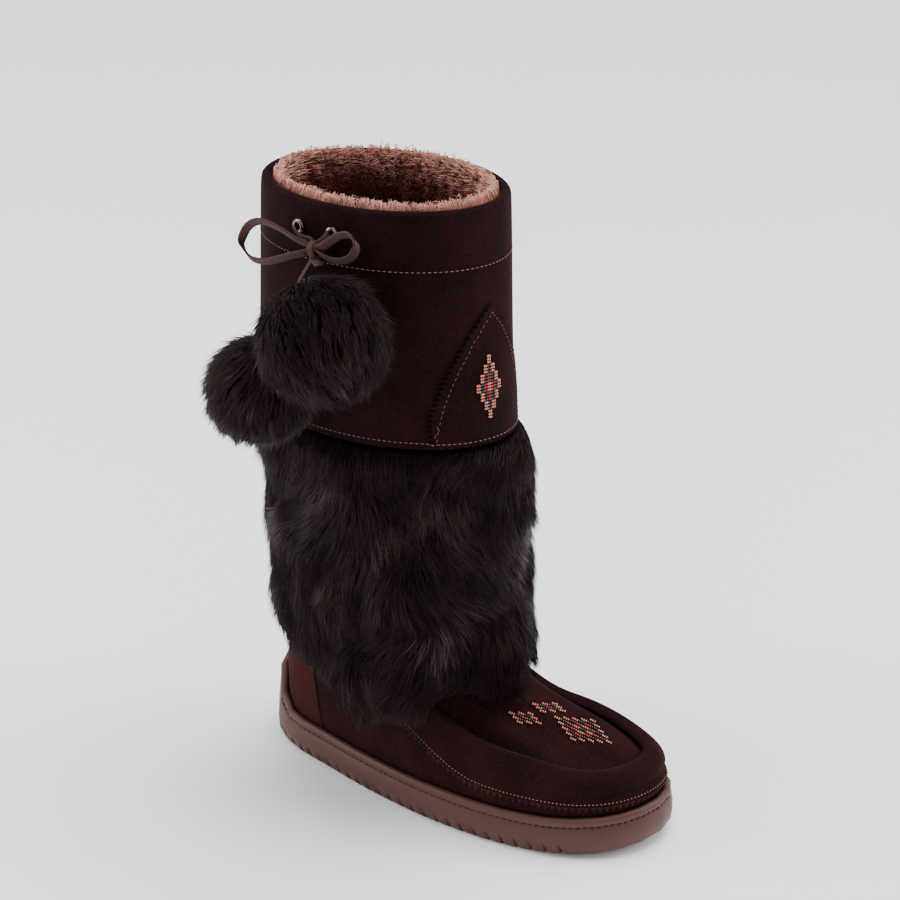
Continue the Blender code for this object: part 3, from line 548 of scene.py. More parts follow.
# tapered three-sided hairs, each bent once on its way from root to tip
def strandPiece(name, roots, middles, tips, width, shade, material, rootShade=0.25):
    count = len(roots)
    lower = unit(middles - roots)
    upper = unit(tips - middles)
    aside = unit(np.cross(lower, upper) + np.cross(lower, chance.normal(size=(count, 3))) * 0.3)
    points = np.empty((count, 7, 3))
    rings = ((roots, lower, 0.8), (middles, unit(lower + upper), 1.0))
    for ring, (centre, ahead, size) in enumerate(rings):
        side = unit(aside - ahead * np.sum(aside * ahead, 1, keepdims=True))
        other = np.cross(ahead, side)
        for corner in range(3):
            angle = math.tau * corner / 3
            reach = (width * size)[:, None]
            points[:, ring * 3 + corner] = centre + reach * (side * math.cos(angle) + other * math.sin(angle))
    points[:, 6] = tips
    pattern = []
    for corner in range(3):
        follow = (corner + 1) % 3
        pattern += [(corner, follow, 3 + follow), (corner, 3 + follow, 3 + corner),
                    (3 + corner, 3 + follow, 6)]
    faces = (np.array(pattern)[None] + 7 * np.arange(count)[:, None, None]).reshape(-1, 3)
    piece = meshPiece(name, points.reshape(-1, 3), faces, material)
    setShade(piece.data, np.clip(shade[:, None] * ([rootShade] * 3 + [0.8] * 3 + [1.0]), 0, 1))
    return piece


# the outside of a CAD node as seen from an upright axis: smoothed radii over turn and height
class Around:
    def __init__(self, node, centre, low, high, rows=40, columns=120, passes=3):
        tree = treeOf(node)
        self.centre = np.array(centre)
        self.heights = np.linspace(low, high, rows)
        self.columns = columns
        grid = np.full((rows, columns), np.nan)
        for i, height in enumerate(self.heights):
            for j in range(columns):
                way = wayAt(math.tau * j / columns)
                start = Vector((*self.centre, height)) + way
                hit = tree.ray_cast(start, -way)[0]
                if hit is not None:
                    grid[i, j] = 1 - (hit - start).length
        for i in range(rows - 2, -1, -1):
            grid[i] = np.where(np.isnan(grid[i]), grid[i + 1], grid[i])
        for _ in range(passes):
            grid = (np.roll(grid, 1, 1) + 2 * grid + np.roll(grid, -1, 1)) / 4
            edged = np.vstack([grid[:1], grid, grid[-1:]])
            grid = (edged[:-2] + 2 * edged[1:-1] + edged[2:]) / 4
        self.grid = grid

    def radius(self, turn, height):
        row = np.interp(height, self.heights, np.arange(len(self.heights)))
        column = np.mod(turn, math.tau) / math.tau * self.columns
        r0 = np.minimum(row.astype(int), len(self.heights) - 2)
        c0 = column.astype(int) % self.columns
        c1 = (c0 + 1) % self.columns
        fr, fc = row - r0, column - np.floor(column)
        low = self.grid[r0, c0] * (1 - fc) + self.grid[r0, c1] * fc
        high = self.grid[r0 + 1, c0] * (1 - fc) + self.grid[r0 + 1, c1] * fc
        return low * (1 - fr) + high * fr

    def place(self, turn, height, out):
        radius = self.radius(turn, height) + out
        return np.stack([self.centre[0] + radius * np.cos(turn), self.centre[1] + radius * np.sin(turn),
                         height], -1)

    # moves points that lie inside the surface out to it
    def keepOff(self, points, clearance):
        turn, away = planPolar(points, self.centre)
        least = self.radius(turn, points[:, 2]) + clearance
        factor = np.where(away < least, least / np.maximum(away, 1e-6), 1.0)[:, None]
        points = points.copy()
        points[:, :2] = self.centre + (points[:, :2] - self.centre) * factor
        return points


# the lowest height of a CAD node in each direction from an upright axis
def hemOf(node, centre, columns=72):
    points = pointsOf(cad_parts[node].data)
    turn, _ = planPolar(points, centre)
    turns = np.arange(columns) * math.tau / columns
    return smoothRound(np.array([points[np.abs(turnBetween(t, turn)) < 0.07, 2].min() for t in turns]))


def makeShaftFur(material):
    low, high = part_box("fur_sleeve")
    top = high.z - 1 * mm
    girth = fur["girth"]
    body = Around("fur_sleeve", fur["axis"], low.z, top)
    count = fur["count"]
    turn = chance.uniform(0, math.tau, count)
    floor = readRound(hemOf("fur_sleeve", fur["axis"]), turn)
    length = fur["length"] * chance.uniform(0.75, 1.15, count)
    share = chance.uniform(0, 1, count)
    # a tenth more along the hem and along the top, so that both are full
    tenth = count // 10
    share[:tenth] = chance.uniform(0, 0.12, tenth)
    share[tenth:2 * tenth] = chance.uniform(0.96, 1.0, tenth)
    root = floor + 0.45 * length + (top - floor - 0.45 * length) * share
    around = turn * girth
    long, short = (softNoise(around, root, wave, seed) for wave, seed in zip(fur["waves"], (3, 8)))
    lean = fur["swirl"] * (long + 0.5 * short)
    lean = np.clip(lean + 0.12 * chance.normal(size=count), -1.1, 1.1)
    lift = fur["lumps"] * softNoise(around, root, fur["tuft"], 5) + 0.8 * mm * chance.normal(size=count)
    lift += fur["back"] * np.clip(np.cos(turn - fur["backTurn"]), 0, 1) ** 2
    ahead = np.clip(np.cos(turn), 0, 1)
    hang = fur["hang"] * (1 - 0.75 * ahead) * chance.uniform(0.2, 1.0, count)
    tipHeight = np.maximum(root - length * np.cos(lean), floor - hang)
    tipTurn = turn + np.sin(lean) * length / girth
    # tips near each other draw together and share a shade
    clumpTurn = chance.uniform(0, math.tau, fur["clumps"])
    clumpHeight = chance.uniform(low.z - fur["hang"], top - 12 * mm, fur["clumps"])
    nearest = nearestClumps(clumpTurn, clumpHeight, np.mod(tipTurn, math.tau), tipHeight, girth)
    pull = fur["gather"] * chance.uniform(0.2, 1.0, count)
    tipTurn = tipTurn + pull * turnBetween(tipTurn, clumpTurn[nearest])
    clumpShade = chance.uniform(-1, 1, fur["clumps"])[nearest]
    atTop = np.clip(1 - (top - root) / (12 * mm), 0, 1)
    roots = body.place(turn, root, -fur["pile"] + 6 * mm * atTop * chance.uniform(0, 1, count))
    middles = body.place(turn + 0.4 * (tipTurn - turn), root - (0.42 - 0.1 * atTop) * (root - tipHeight),
                         -2.6 * mm + 0.6 * lift + 1.6 * mm * atTop)
    tips = body.place(tipTurn, tipHeight, 0.6 * mm + lift + 1.0 * mm * clumpShade)
    foot = treeOf("footUpper", "toeWrap")
    middles = keepOutside(middles, foot, middles[:, 2] < fur["footTop"][0], 1.0 * mm, 3.5 * mm)
    tips = keepOutside(tips, foot, tips[:, 2] < fur["footTop"][1], 0.8 * mm, 3.0 * mm)
    shade = np.clip(0.36 + 0.11 * chance.normal(size=count) + 0.12 * clumpShade
                    + 0.34 * softNoise(around, root, fur["streak"], 9), 0.02, 1.0)
    width = fur["width"] * chance.uniform(0.7, 1.15, count)
    order = np.argsort(np.mod(turn, math.tau))
    for number, part in enumerate(np.array_split(order, fur["pieces"])):
        piece = strandPiece("shaftFur%d" % number, roots[part], middles[part], tips[part], width[part],
                            shade[part], material)
        finishPiece(piece, "boot_fur")
    print("fur done")
    return body


# the dense dark wool under the long hairs, near black: partly the fur's own darkest tone, partly painted
# shade deep in the fur
def makeUnderFur(material, body):
    piece = dressedCopy("fur_sleeve", "underFur", material)
    axis = np.array(fur["axis"])
    points = pointsOf(piece.data)
    turn, away = planPolar(points, axis)
    factor = np.minimum(1, (body.radius(turn, points[:, 2]) - fur["wool"]) / away)[:, None]
    points[:, :2] = axis + (points[:, :2] - axis) * factor
    above, further = fur["woolHem"]
    hem = readRound(hemOf("fur_sleeve", axis), turn) + above + further * np.clip(np.cos(turn), 0, 1)
    points[:, 2] = np.maximum(points[:, 2], hem)
    movePoints(piece.data, points)
    finishPiece(piece, "boot_fur", "fur_sleeve")


# fur balls

ball = {
    "count": 10000,
    # the core is near black: the fur's darkest tone and painted shade deep inside the ball
    "core": 0.74,               # dark heart, as a share of the radius
    "root": 0.50,
    "lay": 0.75,                # how far the hairs lie over, away from the lace
    "width": 0.27 * mm,
    "clumps": 220,
}


# a ball of hair falling away from the lace, pressed flat where it meets the cuff or the fur
def makeBall(node, name, material, coreMaterial, wall, skirt):
    low, high = (np.array(corner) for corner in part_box(node))
    radius = (high[0] - low[0]) / 2
    centre = np.array(((low[0] + high[0]) / 2, low[1] + radius, (low[2] + high[2]) / 2))
    count = ball["count"]
    way = unit(chance.normal(size=(count, 3)))
    pole = unit(mm * np.array(lace["knot"]) - centre + np.array((0, -0.02, 0)))
    away = unit(way * (way @ pole)[:, None] - pole)
    swirl = np.cross(way, pole)
    clumps = unit(chance.normal(size=(ball["clumps"], 3)))
    nearest = np.argmax(way @ clumps.T, 1)
    clumpShade = chance.uniform(-1, 1, ball["clumps"])[nearest]
    reach = radius * (0.94 + 0.05 * chance.normal(size=count) + 0.04 * clumpShade)
    lay = ball["lay"] * (0.45 + 0.55 * (1 + way @ pole) / 2) * chance.uniform(0.7, 1.2, count)
    bent = unit(way * 0.7 + clumps[nearest] * 0.3 + lay[:, None] * away)
    tipWay = unit(bent + (0.35 * softNoise(way[:, 0], way[:, 2], 1.1, 21))[:, None] * swirl)
    roots = centre + way * radius * ball["root"]
    middles = centre + unit(way + 0.45 * (tipWay - way)) * radius * 0.86
    tips = centre + tipWay * reach[:, None]
    for surface in (wall, skirt):
        inside = [surface.keepOff(p, 0.8 * mm) for p in (roots, middles, tips)]
        rows = np.array([p[:, 2] >= surface.heights[0] for p in (roots, middles, tips)])
        roots, middles, tips = [np.where(r[:, None], new, old)
                                for r, new, old in zip(rows, inside, (roots, middles, tips))]
    shade = np.clip(0.30 + 0.14 * chance.normal(size=count) + 0.12 * clumpShade
                    + 0.28 * softNoise(way[:, 0] + way[:, 2], way[:, 1], 1.2, 4), 0.02, 1.0)
    width = ball["width"] * chance.uniform(0.7, 1.15, count)
    piece = strandPiece(name, roots, middles, tips, width, shade, material)
    # near-black core: the fur's darkest tone and painted shade deep inside the ball
    core = dressedCopy(node, name + "Core", coreMaterial)
    points = centre + (pointsOf(core.data) - centre) * ball["core"]
    movePoints(core.data, wall.keepOff(points, 0.5 * mm))
    finishPiece(piece, "pompom_fur", node)
    finishPiece(core, "pompom_fur")
    return piece, core


# shearling pile inside the collar

pile = {
    # ramp colours: the light end shows at the rim as painted light, the dark end deep in the collar as
    # painted shade
    "tip": "#fbc0b0",
    "middle": "#78443a",
    "root": "#180906",
    "count": 19500,
    "length": 9.0 * mm,
    "width": 0.30 * mm,
    "depth": 70 * mm,           # how far down the pile is combed out in full
    "inward": -8 * mm,          # its roots, from the cuff's outside
    "girth": 65 * mm,           # radius at which the turn is laid out flat
    # the woolly skin behind it: heights from the rim and places from the cuff's outside
    "skin": ((-2, -7.5), (-10, -10), (-40, -11), (-110, -11.5), (-110, -8), (-40, -7.6), (-10, -7.4)),
    "clumps": 520,
}


# shearling: matt pink-brown wool, with painted light at the rim and painted shade further down the collar
def makePile():
    material = makeFurMaterial("shearlingPile", pile["root"], pile["middle"], pile["tip"], 0.8)
    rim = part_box("cuff")[1].z
    top = Around("cuff", middleOf("cuff"), rim - 40 * mm, rim - 5 * mm, rows=8)
    count = pile["count"]
    turn = chance.uniform(0, math.tau, count)
    depth = 1.5 * mm + pile["depth"] * chance.uniform(0, 1, count) ** 1.6
    height = rim - depth
    clumpTurn = chance.uniform(0, math.tau, pile["clumps"])
    clumpDepth = pile["depth"] * chance.uniform(0, 1, pile["clumps"]) ** 1.6
    nearest = nearestClumps(clumpTurn, clumpDepth, turn, depth, pile["girth"])
    length = pile["length"] * chance.uniform(0.7, 1.2, count)
    offset = turnBetween(turn, clumpTurn[nearest])
    edge = np.clip(1 - depth / (9 * mm), 0, 1)
    lumps = softNoise(turn * pile["girth"], depth, 26 * mm, 31)
    lift = 0.2 + 0.9 * edge + 0.3 * chance.normal(size=count)
    out = pile["inward"] - 2.0 * mm * lumps
    roots = top.place(turn, height, pile["inward"])
    middles = top.place(turn + 0.25 * offset, height + 0.45 * length * lift,
                        out - (0.45 - 0.3 * edge) * length)
    tipHeight = height + 0.75 * length * lift + 0.4 * (depth - clumpDepth[nearest])
    tipHeight = np.minimum(tipHeight, rim + (1.5 + 2.5 * chance.uniform(0, 1, count)) * mm)
    tips = top.place(turn + 0.5 * offset + 0.045 * chance.normal(size=count), tipHeight,
                     out - (0.85 - 0.75 * edge * chance.uniform(0.3, 1.3, count)) * length)
    # painted shade: the pile is darker the further down the collar it grows, and lightest at the rim as
    # painted light; lumps that stand further out are a little lighter
    shade = np.clip(1.08 - 2.1 * np.minimum(depth / pile["depth"], 0.5)
                    + 0.13 * chance.normal(size=count) + 0.15 * lumps, 0.06, 1)
    width = pile["width"] * chance.uniform(0.7, 1.2, count)
    for number, part in enumerate(np.array_split(np.argsort(turn), 2)):
        piece = strandPiece("collarPile%d" % number, roots[part], middles[part], tips[part], width[part],
                            shade[part], material, 0.6)
        finishPiece(piece, "insole_pile")
    makeBacking(top, rim, material)
    bed = dressedCopy("insole", "pileInsole", material)
    setShade(bed.data, np.full(len(bed.data.vertices), 0.4))
    finishPiece(bed, "insole_pile", "insole")
    print("pile done")


def makeBacking(top, rim, material):
    count = 96
    turns = np.linspace(0, math.tau, count, endpoint=False)
    rings = [top.place(turns, np.full(count, rim + drop * mm), out * mm) for drop, out in pile["skin"]]
    piece = meshPiece("pileBacking", np.vstack(rings), tubeFaces(len(rings), count, True), material)
    selectOnly(piece)
    bpy.ops.object.mode_set(mode="EDIT")
    bpy.ops.mesh.select_all(action="SELECT")
    bpy.ops.mesh.normals_make_consistent(inside=False)
    bpy.ops.object.mode_set(mode="OBJECT")
    setShade(piece.data, np.full(len(piece.data.vertices), 0.3))
    finishPiece(piece, "insole_pile")


# the tie: one flat woven lace in two halves, each through its eyelet into the knot, round its loop and down

lace = {
    "width": 5.5 * mm,
    "thickness": 1.3 * mm,
    "rib": 1.25 * mm,           # the braid's rows across the width
    "stitch": 1.4 * mm,         # and its chain along the length
    # the tape's colour on its raised rows, and the painted shade in the weave's low parts
    "light": "#5e4540",
    "dark": "#150d0c",
    "knot": (39.0, -72.6, 357.0),
    "across": (0.0, -0.62, 0.78),
    "tailAcross": {"Rear": (0.75, -0.64, 0.15), "Front": (0.64, 0.75, 0.15)},
    "run": {
        "Rear": ((21.6, -68.6, 364.6), (23.4, -70.4, 364.2), (28.0, -71.4, 362.4), (32.4, -71.2, 361.4),
                 (35.4, -70.9, 361.6)),
        "Front": ((45.0, -68.2, 365.4), (45.4, -70.6, 364.8), (44.4, -71.4, 363.2), (42.2, -71.2, 361.7)),
    },
    "loop": {
        "Rear": ((34.4, -74.4, 359.2), (28.0, -76.4, 362.0), (18.0, -77.6, 366.0), (8.0, -77.0, 367.6),
                 (-5.0, -73.0, 364.6), (-15.0, -70.0, 356.6), (-18.6, -69.0, 348.0), (-12.0, -70.0, 341.6),
                 (0.0, -72.0, 341.8), (14.0, -74.0, 346.8), (25.0, -75.2, 351.6), (34.6, -74.9, 355.2)),
        "Front": ((44.2, -74.6, 359.4), (49.0, -76.8, 362.4), (56.0, -78.8, 367.4), (63.5, -80.6, 372.0),
                  (70.5, -81.0, 373.6), (74.0, -80.0, 368.6), (71.0, -78.8, 361.6), (63.4, -77.6, 356.6),
                  (54.0, -76.4, 354.8), (44.1, -74.9, 356.2)),
    },
    "tail": {
        "Rear": ((37.4, -72.2, 352.4), (34.2, -73.6, 345.8), (30.2, -75.8, 337.4), (26.8, -78.6, 328.6),
                 (24.2, -81.6, 319.6), (21.7, -85.0, 309.3)),
        "Front": ((40.8, -75.3, 352.0), (45.2, -78.6, 352.4), (49.8, -81.9, 351.8)),
    },
}


# woven tape: dull rows of chain stitches from the piece's own UV map, in metres, with painted shade in the
# weave's low parts
def makeLaceMaterial():
    material, shader = newMaterial("wovenTape", lace["light"], 0.85, {"Specular IOR Level": 0.2})
    place = addNode(material, "UVMap", {"uv_map": "tape"}).outputs[0]
    along, across, _ = addNode(material, "SeparateXYZ", (), {0: place}).outputs
    rib = reckon(material, "MULTIPLY", across, math.tau / lace["rib"])
    run = reckon(material, "MULTIPLY", along, math.tau / lace["stitch"])
    chain = reckon(material, "SINE", reckon(material, "ADD", run, rib))
    height = reckon(material, "MULTIPLY_ADD", chain, 0.5, reckon(material, "SINE", rib))
    # painted shade: the low parts of the weave are dark and its raised rows light, from the same height as
    # the bump
    share = spreadOut(material, height, -1.4, 1.4)
    feed(shader, "Base Color", mixColours(material, share, toLinear(lace["dark"]), toLinear(lace["light"])))
    addBump(material, shader, share, 0.8, 0.5 * mm)
    return material


# a flat tape with rounded edges along a line of points
def tapePiece(name, line, across, width, thickness, material):
    ahead = unit(np.gradient(line, axis=0))
    wide = unit(across - ahead * np.sum(across * ahead, 1, keepdims=True))
    thick = np.cross(ahead, wide)
    profile = np.array(((-0.5, -0.15), (-0.44, -0.5), (-0.15, -0.5), (0.15, -0.5), (0.44, -0.5), (0.5, -0.15),
                        (0.5, 0.15), (0.44, 0.5), (0.15, 0.5), (-0.15, 0.5), (-0.44, 0.5), (-0.5, 0.15)))
    sides = len(profile)
    rings = np.stack([line + wide * width * a + thick * thickness * b for a, b in profile], 1).reshape(-1, 3)
    last = len(rings) - sides
    caps = []
    for side in range(sides):
        follow = (side + 1) % sides
        caps += [(follow, side, len(rings)), (last + side, last + follow, len(rings) + 1)]
    mesh = bpy.data.meshes.new(name)
    mesh.from_pydata(np.vstack([rings, line[:1], line[-1:]]).tolist(), [],
                     tubeFaces(len(line), sides).tolist() + caps)
    mesh.materials.append(material)
    mesh.shade_smooth()
    layer = mesh.uv_layers.new(name="tape")
    along = lengthsOf(line)
    spread = lengthsOf(profile * (width, thickness))
    for loop in mesh.loops:
        index = loop.vertex_index
        if index < len(rings):
            layer.data[loop.index].uv = (along[index // sides], spread[index % sides])
    return addObject(name, mesh)


def makeLaces():
    material = makeLaceMaterial()
    knot = makeKnot(material)
    for half in ("Rear", "Front"):
        run, loop, tail = lace["run"][half], lace["loop"][half], lace["tail"][half]
        points = [*run, lace["knot"], *loop, lace["knot"], *tail]
        across = [lace["across"]] * (len(run) + len(loop) + 2) + [lace["tailAcross"][half]] * len(tail)
        curve = smoothCurve(mm * np.array(points), 8)
        turned = np.stack([np.interp(np.arange(len(curve)) / 8, np.arange(len(points)), c)
                           for c in np.transpose(across)], 1)
        line, turned = evenly(curve, 1.6 * mm, turned)
        name = "lace" + half
        piece = tapePiece(name, line, unit(turned), lace["width"], lace["thickness"], material)
        low = half.lower()
        finishPiece(piece, "lace_braid", "lace_run_" + low, "bow_loop_" + low, "lace_tail_" + low)
    print("laces done")


# a tight overhand knot: a core with two turns of the tape over it
def makeKnot(material):
    centre = mm * np.array(lace["knot"])
    turns = np.linspace(0, math.tau, 33)
    pieces = []
    for number, (tilt, reachUp, reachOut) in enumerate(((0.25, 4.6, 4.2), (-0.5, 4.2, 3.4))):
        side = np.array((math.cos(tilt), 0.0, math.sin(tilt)))
        up = np.array((-math.sin(tilt), 0.0, math.cos(tilt)))
        line = centre + mm * (np.outer(np.sin(turns) * reachUp, up)
                              + np.outer(np.cos(turns) * reachOut, (0, -1, 0)))
        across = np.tile(side, (len(line), 1))
        pieces.append(tapePiece("knotTurn%d" % number, line, across, 4.6 * mm, 1.3 * mm, material))
    bpy.ops.object.select_all(action="DESELECT")
    bpy.ops.mesh.primitive_uv_sphere_add(segments=20, ring_count=12, radius=1, location=tuple(centre),
                                         scale=(4.6 * mm, 3.2 * mm, 3.9 * mm))
    core = bpy.context.object
    bpy.ops.object.transform_apply(location=True, rotation=True, scale=True)
    bpy.ops.object.shade_smooth()
    core.data.materials.append(material)
    core.data.uv_layers[0].name = "tape"
    for piece in pieces:
        piece.select_set(True)
    bpy.context.view_layer.objects.active = core
    bpy.ops.object.join()
    core.name = "bowKnot"
    finishPiece(core, "lace_braid", "bow_knot")
    return core


# stitches and beads

# copies of one small modelled shape, each turned and sized, as one mesh
def joinedCopies(name, template, centres, xAxes, zAxes, sizes, material):
    points = pointsOf(template.data)
    template.data.calc_loop_triangles()
    faces = np.array([t.vertices[:] for t in template.data.loop_triangles])
    xAxes = unit(np.asarray(xAxes, float))
    zAxes = unit(np.asarray(zAxes, float) - xAxes * np.sum(np.asarray(zAxes) * xAxes, 1, keepdims=True))
    yAxes = np.cross(zAxes, xAxes)
    sizes = np.broadcast_to(np.asarray(sizes, float), (len(centres), 3))
    local = points[None] * sizes[:, None]
    placed = (np.asarray(centres)[:, None] + local[..., :1] * xAxes[:, None]
              + local[..., 1:2] * yAxes[:, None] + local[..., 2:] * zAxes[:, None])
    allFaces = faces[None] + len(points) * np.arange(len(centres))[:, None, None]
    return meshPiece(name, placed.reshape(-1, 3), allFaces.reshape(-1, 3), material)


def makeTemplate(segments, rings):
    bpy.ops.object.select_all(action="DESELECT")
    bpy.ops.mesh.primitive_uv_sphere_add(segments=segments, ring_count=rings, radius=0.5)
    return bpy.context.object


thread = {
    "pale": "#80665a",
    "brown": "#553a33",
    "dark": "#120a09",
    # of each seam, a stitch's length, the gap after it and its width
    "cuff": (2.3 * mm, 0.9 * mm, 0.48 * mm),
    "patch": (2.3 * mm, 1.2 * mm, 0.6 * mm),
    "wrap": (1.3 * mm, 1.1 * mm, 0.62 * mm),
    "sole": (3.3 * mm, 0.9 * mm, 1.0 * mm),
    "soleSlant": 0.2,
    "belowRim": 34.5 * mm,      # the cuff's two seams
    "aboveHem": 4.2 * mm,
}


# stitches along a line on a surface
def stitchRow(name, template, line, normals, material, seam, slot, slant=0.0):
    length, gap, width = thread[seam]
    centres, outward = evenly(line, length + gap, normals)
    ahead = unit(np.gradient(centres, axis=0))
    outward = unit(outward)
    ahead = unit(ahead + slant * np.cross(outward, ahead))
    lifted = centres + outward * width * 0.2
    row = joinedCopies(name, template, lifted, ahead, outward, (length, width, width), material)
    finishPiece(row, slot)


# waxed thread: plain and slightly shiny, pale on the cuff and wrap, brown on the patch, dark on the sole
def makeStitches():
    pale, brown, dark = (newMaterial(shade + "Thread", thread[shade], roughness)[0]
                         for shade, roughness in (("pale", 0.7), ("brown", 0.7), ("dark", 0.8)))
    template = makeTemplate(6, 4)
    low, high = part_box("cuff")
    tree = treeOf("turnedCuff", "pinkedPatch")
    turns = np.linspace(0, math.tau, 181)
    seams = (("cuffStitch", high.z - thread["belowRim"]), ("hemStitch", low.z + thread["aboveHem"]))
    for name, height in seams:
        line, normals = ringOn(tree, middleOf("cuff"), np.full(181, height), turns)
        stitchRow(name, template, line, normals, pale, "cuff", "cuff_suede")
    makePatchStitches(template, tree, brown)
    makeWrapEdge(template, pale)
    makeChannelStitches(template, dark)
    bpy.data.objects.remove(template)
    print("stitches done")


patchSeam = {
    "middle": -11.5 * mm,       # where the patch's middle lies, to the outer side
    "apex": 83 * mm,            # its edge above the cuff's hem
    "foot": 34.5 * mm,          # and to each side at the foot
    # shares of the height and of the half width
    "shape": ((0.04, 0.965), (0.15, 0.95), (0.26, 0.92), (0.42, 0.83), (0.58, 0.70), (0.72, 0.54),
              (0.845, 0.36), (0.945, 0.17), (1.0, 0.0)),
    "inset": 3.6 * mm,          # of the seam from that edge
}


# the seam inside the patch's pinked edge
def makePatchStitches(template, tree, material):
    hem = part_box("cuff")[0].z
    centre = middleOf("cuff")
    shape = [(w * patchSeam["foot"], u * patchSeam["apex"]) for u, w in patchSeam["shape"]]
    corners = [(-w, u, 0) for w, u in shape] + [(w, u, 0) for w, u in reversed(shape[:-1])]
    edge, normals = [], []
    for across, up, _ in smoothCurve(corners, 6):
        start = Vector((centre[0] + 0.3, patchSeam["middle"] + across, hem + up))
        hit, normal = tree.ray_cast(start, Vector((-1, 0, 0)))[:2]
        edge.append(tuple(hit))
        normals.append(tuple(normal))
    edge = np.array(edge)
    inward = unit(np.cross(np.gradient(edge, axis=0), normals))
    inward = np.where(inward[:, 2:] > 0, -inward, inward)
    line, found = [], []
    face = treeOf("pinkedPatch")
    for place in edge + inward * patchSeam["inset"]:
        way = unit(place - (*centre, place[2]))
        hit, normal = face.ray_cast(Vector(place + way * 10 * mm), Vector(-way))[:2]
        if hit is not None:
            line.append(tuple(hit))
            found.append(tuple(normal))
    stitchRow("patchStitch", template, np.array(line), np.array(found), material, "patch", "patch_suede")


pinking = {
    "pitch": 4.1 * mm,
    "depth": 2.4 * mm,
    "seamAbove": 3.4 * mm,
    "fold": 8 * mm,             # the fold under the bolster, above the wrap's edge
    "press": 2.6 * mm,          # and how deep it goes
    "foldHalf": 2.2 * mm,       # half its height
    "middle": (0.110, 0.004),   # plan point that the toe is walked round from
    "turns": (-146, 146),       # degrees
    "heights": (0.022, 0.0802, 0.4 * mm),   # between which its lowest edge is looked for
    # the teeth's two tones, both lighter than the wrap: partly the cut edge's own colour, partly painted
    # light
    "light": "#3a2120",
    "shadow": "#211111",
}


# pinked teeth along the wrap's lower edge, a little lighter, partly as cut suede is and partly as painted
# light where the edges catch the lamps, and the seam above them
def makeWrapEdge(template, material):
    tree = treeOf("toeWrap")
    turns = np.radians(np.linspace(*pinking["turns"], 220))
    lowest = firstHeights(tree, pinking["middle"], turns, np.arange(*pinking["heights"]))
    for _ in range(6):
        lowest = np.convolve(np.r_[lowest[0], lowest, lowest[-1]], (0.25, 0.5, 0.25), "valid")
    edge, normals = ringOn(tree, pinking["middle"], lowest + 0.9 * mm, turns)
    centres, outward = evenly(edge, pinking["pitch"], normals)
    ahead = unit(np.gradient(centres, axis=0))
    outward = unit(outward)
    down = np.cross(outward, ahead)
    down = np.where(down[:, 2:] < 0, down, -down)
    bpy.ops.object.select_all(action="DESELECT")
    bpy.ops.mesh.primitive_cone_add(vertices=12, radius1=0.5, radius2=0.03, depth=1, end_fill_type="NGON")
    tooth = bpy.context.object
    cutAndLitSuede, _ = makeSuede("cutAndLitSuede", pinking["light"], pinking["shadow"])
    places = centres + down * 0.9 * mm - outward * 0.5 * mm
    sizes = (pinking["pitch"] * 1.12, 2.0 * mm, pinking["depth"] * 1.5)
    finishPiece(joinedCopies("pinkedEdge", tooth, places, ahead, down, sizes, cutAndLitSuede), "wrap_suede")
    bpy.data.objects.remove(tooth)
    seam, seamNormals = ringOn(tree, pinking["middle"], lowest + pinking["seamAbove"], turns)
    stitchRow("wrapStitch", template, seam, seamNormals, material, "wrap", "wrap_suede")


channel = {
    "drop": 5.6 * mm,           # below the lip's top edge
    "middle": (0.09, 0.002),
    "heights": (0.056, 0.0196, -0.3 * mm),  # between which that edge is looked for
}


# dark slanted stitches in the groove under the sole's lip
def makeChannelStitches(template, material):
    tree = treeOf("outsole")
    turns = np.linspace(-math.pi, math.pi, 361)
    lip = firstHeights(tree, channel["middle"], turns, np.arange(*channel["heights"]))
    for _ in range(4):
        lip = np.convolve(np.r_[lip[-2], lip, lip[1]], (0.25, 0.5, 0.25), "valid")
    line, normals = ringOn(tree, channel["middle"], lip - channel["drop"], turns)
    stitchRow("channelStitch", template, line, normals, material, "sole", "sole_rubber", thread["soleSlant"])


beads = {
    "copper": "#c98573",
    "red": "#8c1220",
    "dark": "#0a0f0e",
    "long": 1.25 * mm,          # a bead along its hole
    "high": 1.85 * mm,          # and across it
    "patchPixel": (488.5, 386),
    "patchCells": 3,            # steps from the diamond's middle to its edge
    # the toe's diamonds: middle, steps, and one bead further along and one row further across
    "toe": (((582.6, 731.0), 4, (2.16, 1.01), (2.45, -2.25)),
            ((524.5, 718.7), 2, (2.25, 0.81), (2.65, -2.15)),
            ((548.3, 708.5), 2, (2.29, 0.54), (2.95, -1.85))),
    "toeSize": (1.28 * mm, 1.95 * mm, 1.85 * mm),
}


# bead offsets of a stepped diamond, across and along, with each bead's step from the edge
def beadPlaces(cells, rowsInCell, acrossInCell):
    places = []
    for column in range(-cells, cells + 1):
        for row in range(-cells, cells + 1):
            step = cells - abs(column) - abs(row)
            if step < 0:
                continue
            for a in range(acrossInCell):
                for b in range(rowsInCell):
                    places.append((column * acrossInCell + a - (acrossInCell - 1) / 2,
                                   row * rowsInCell + b - (rowsInCell - 1) / 2, step))
    return places


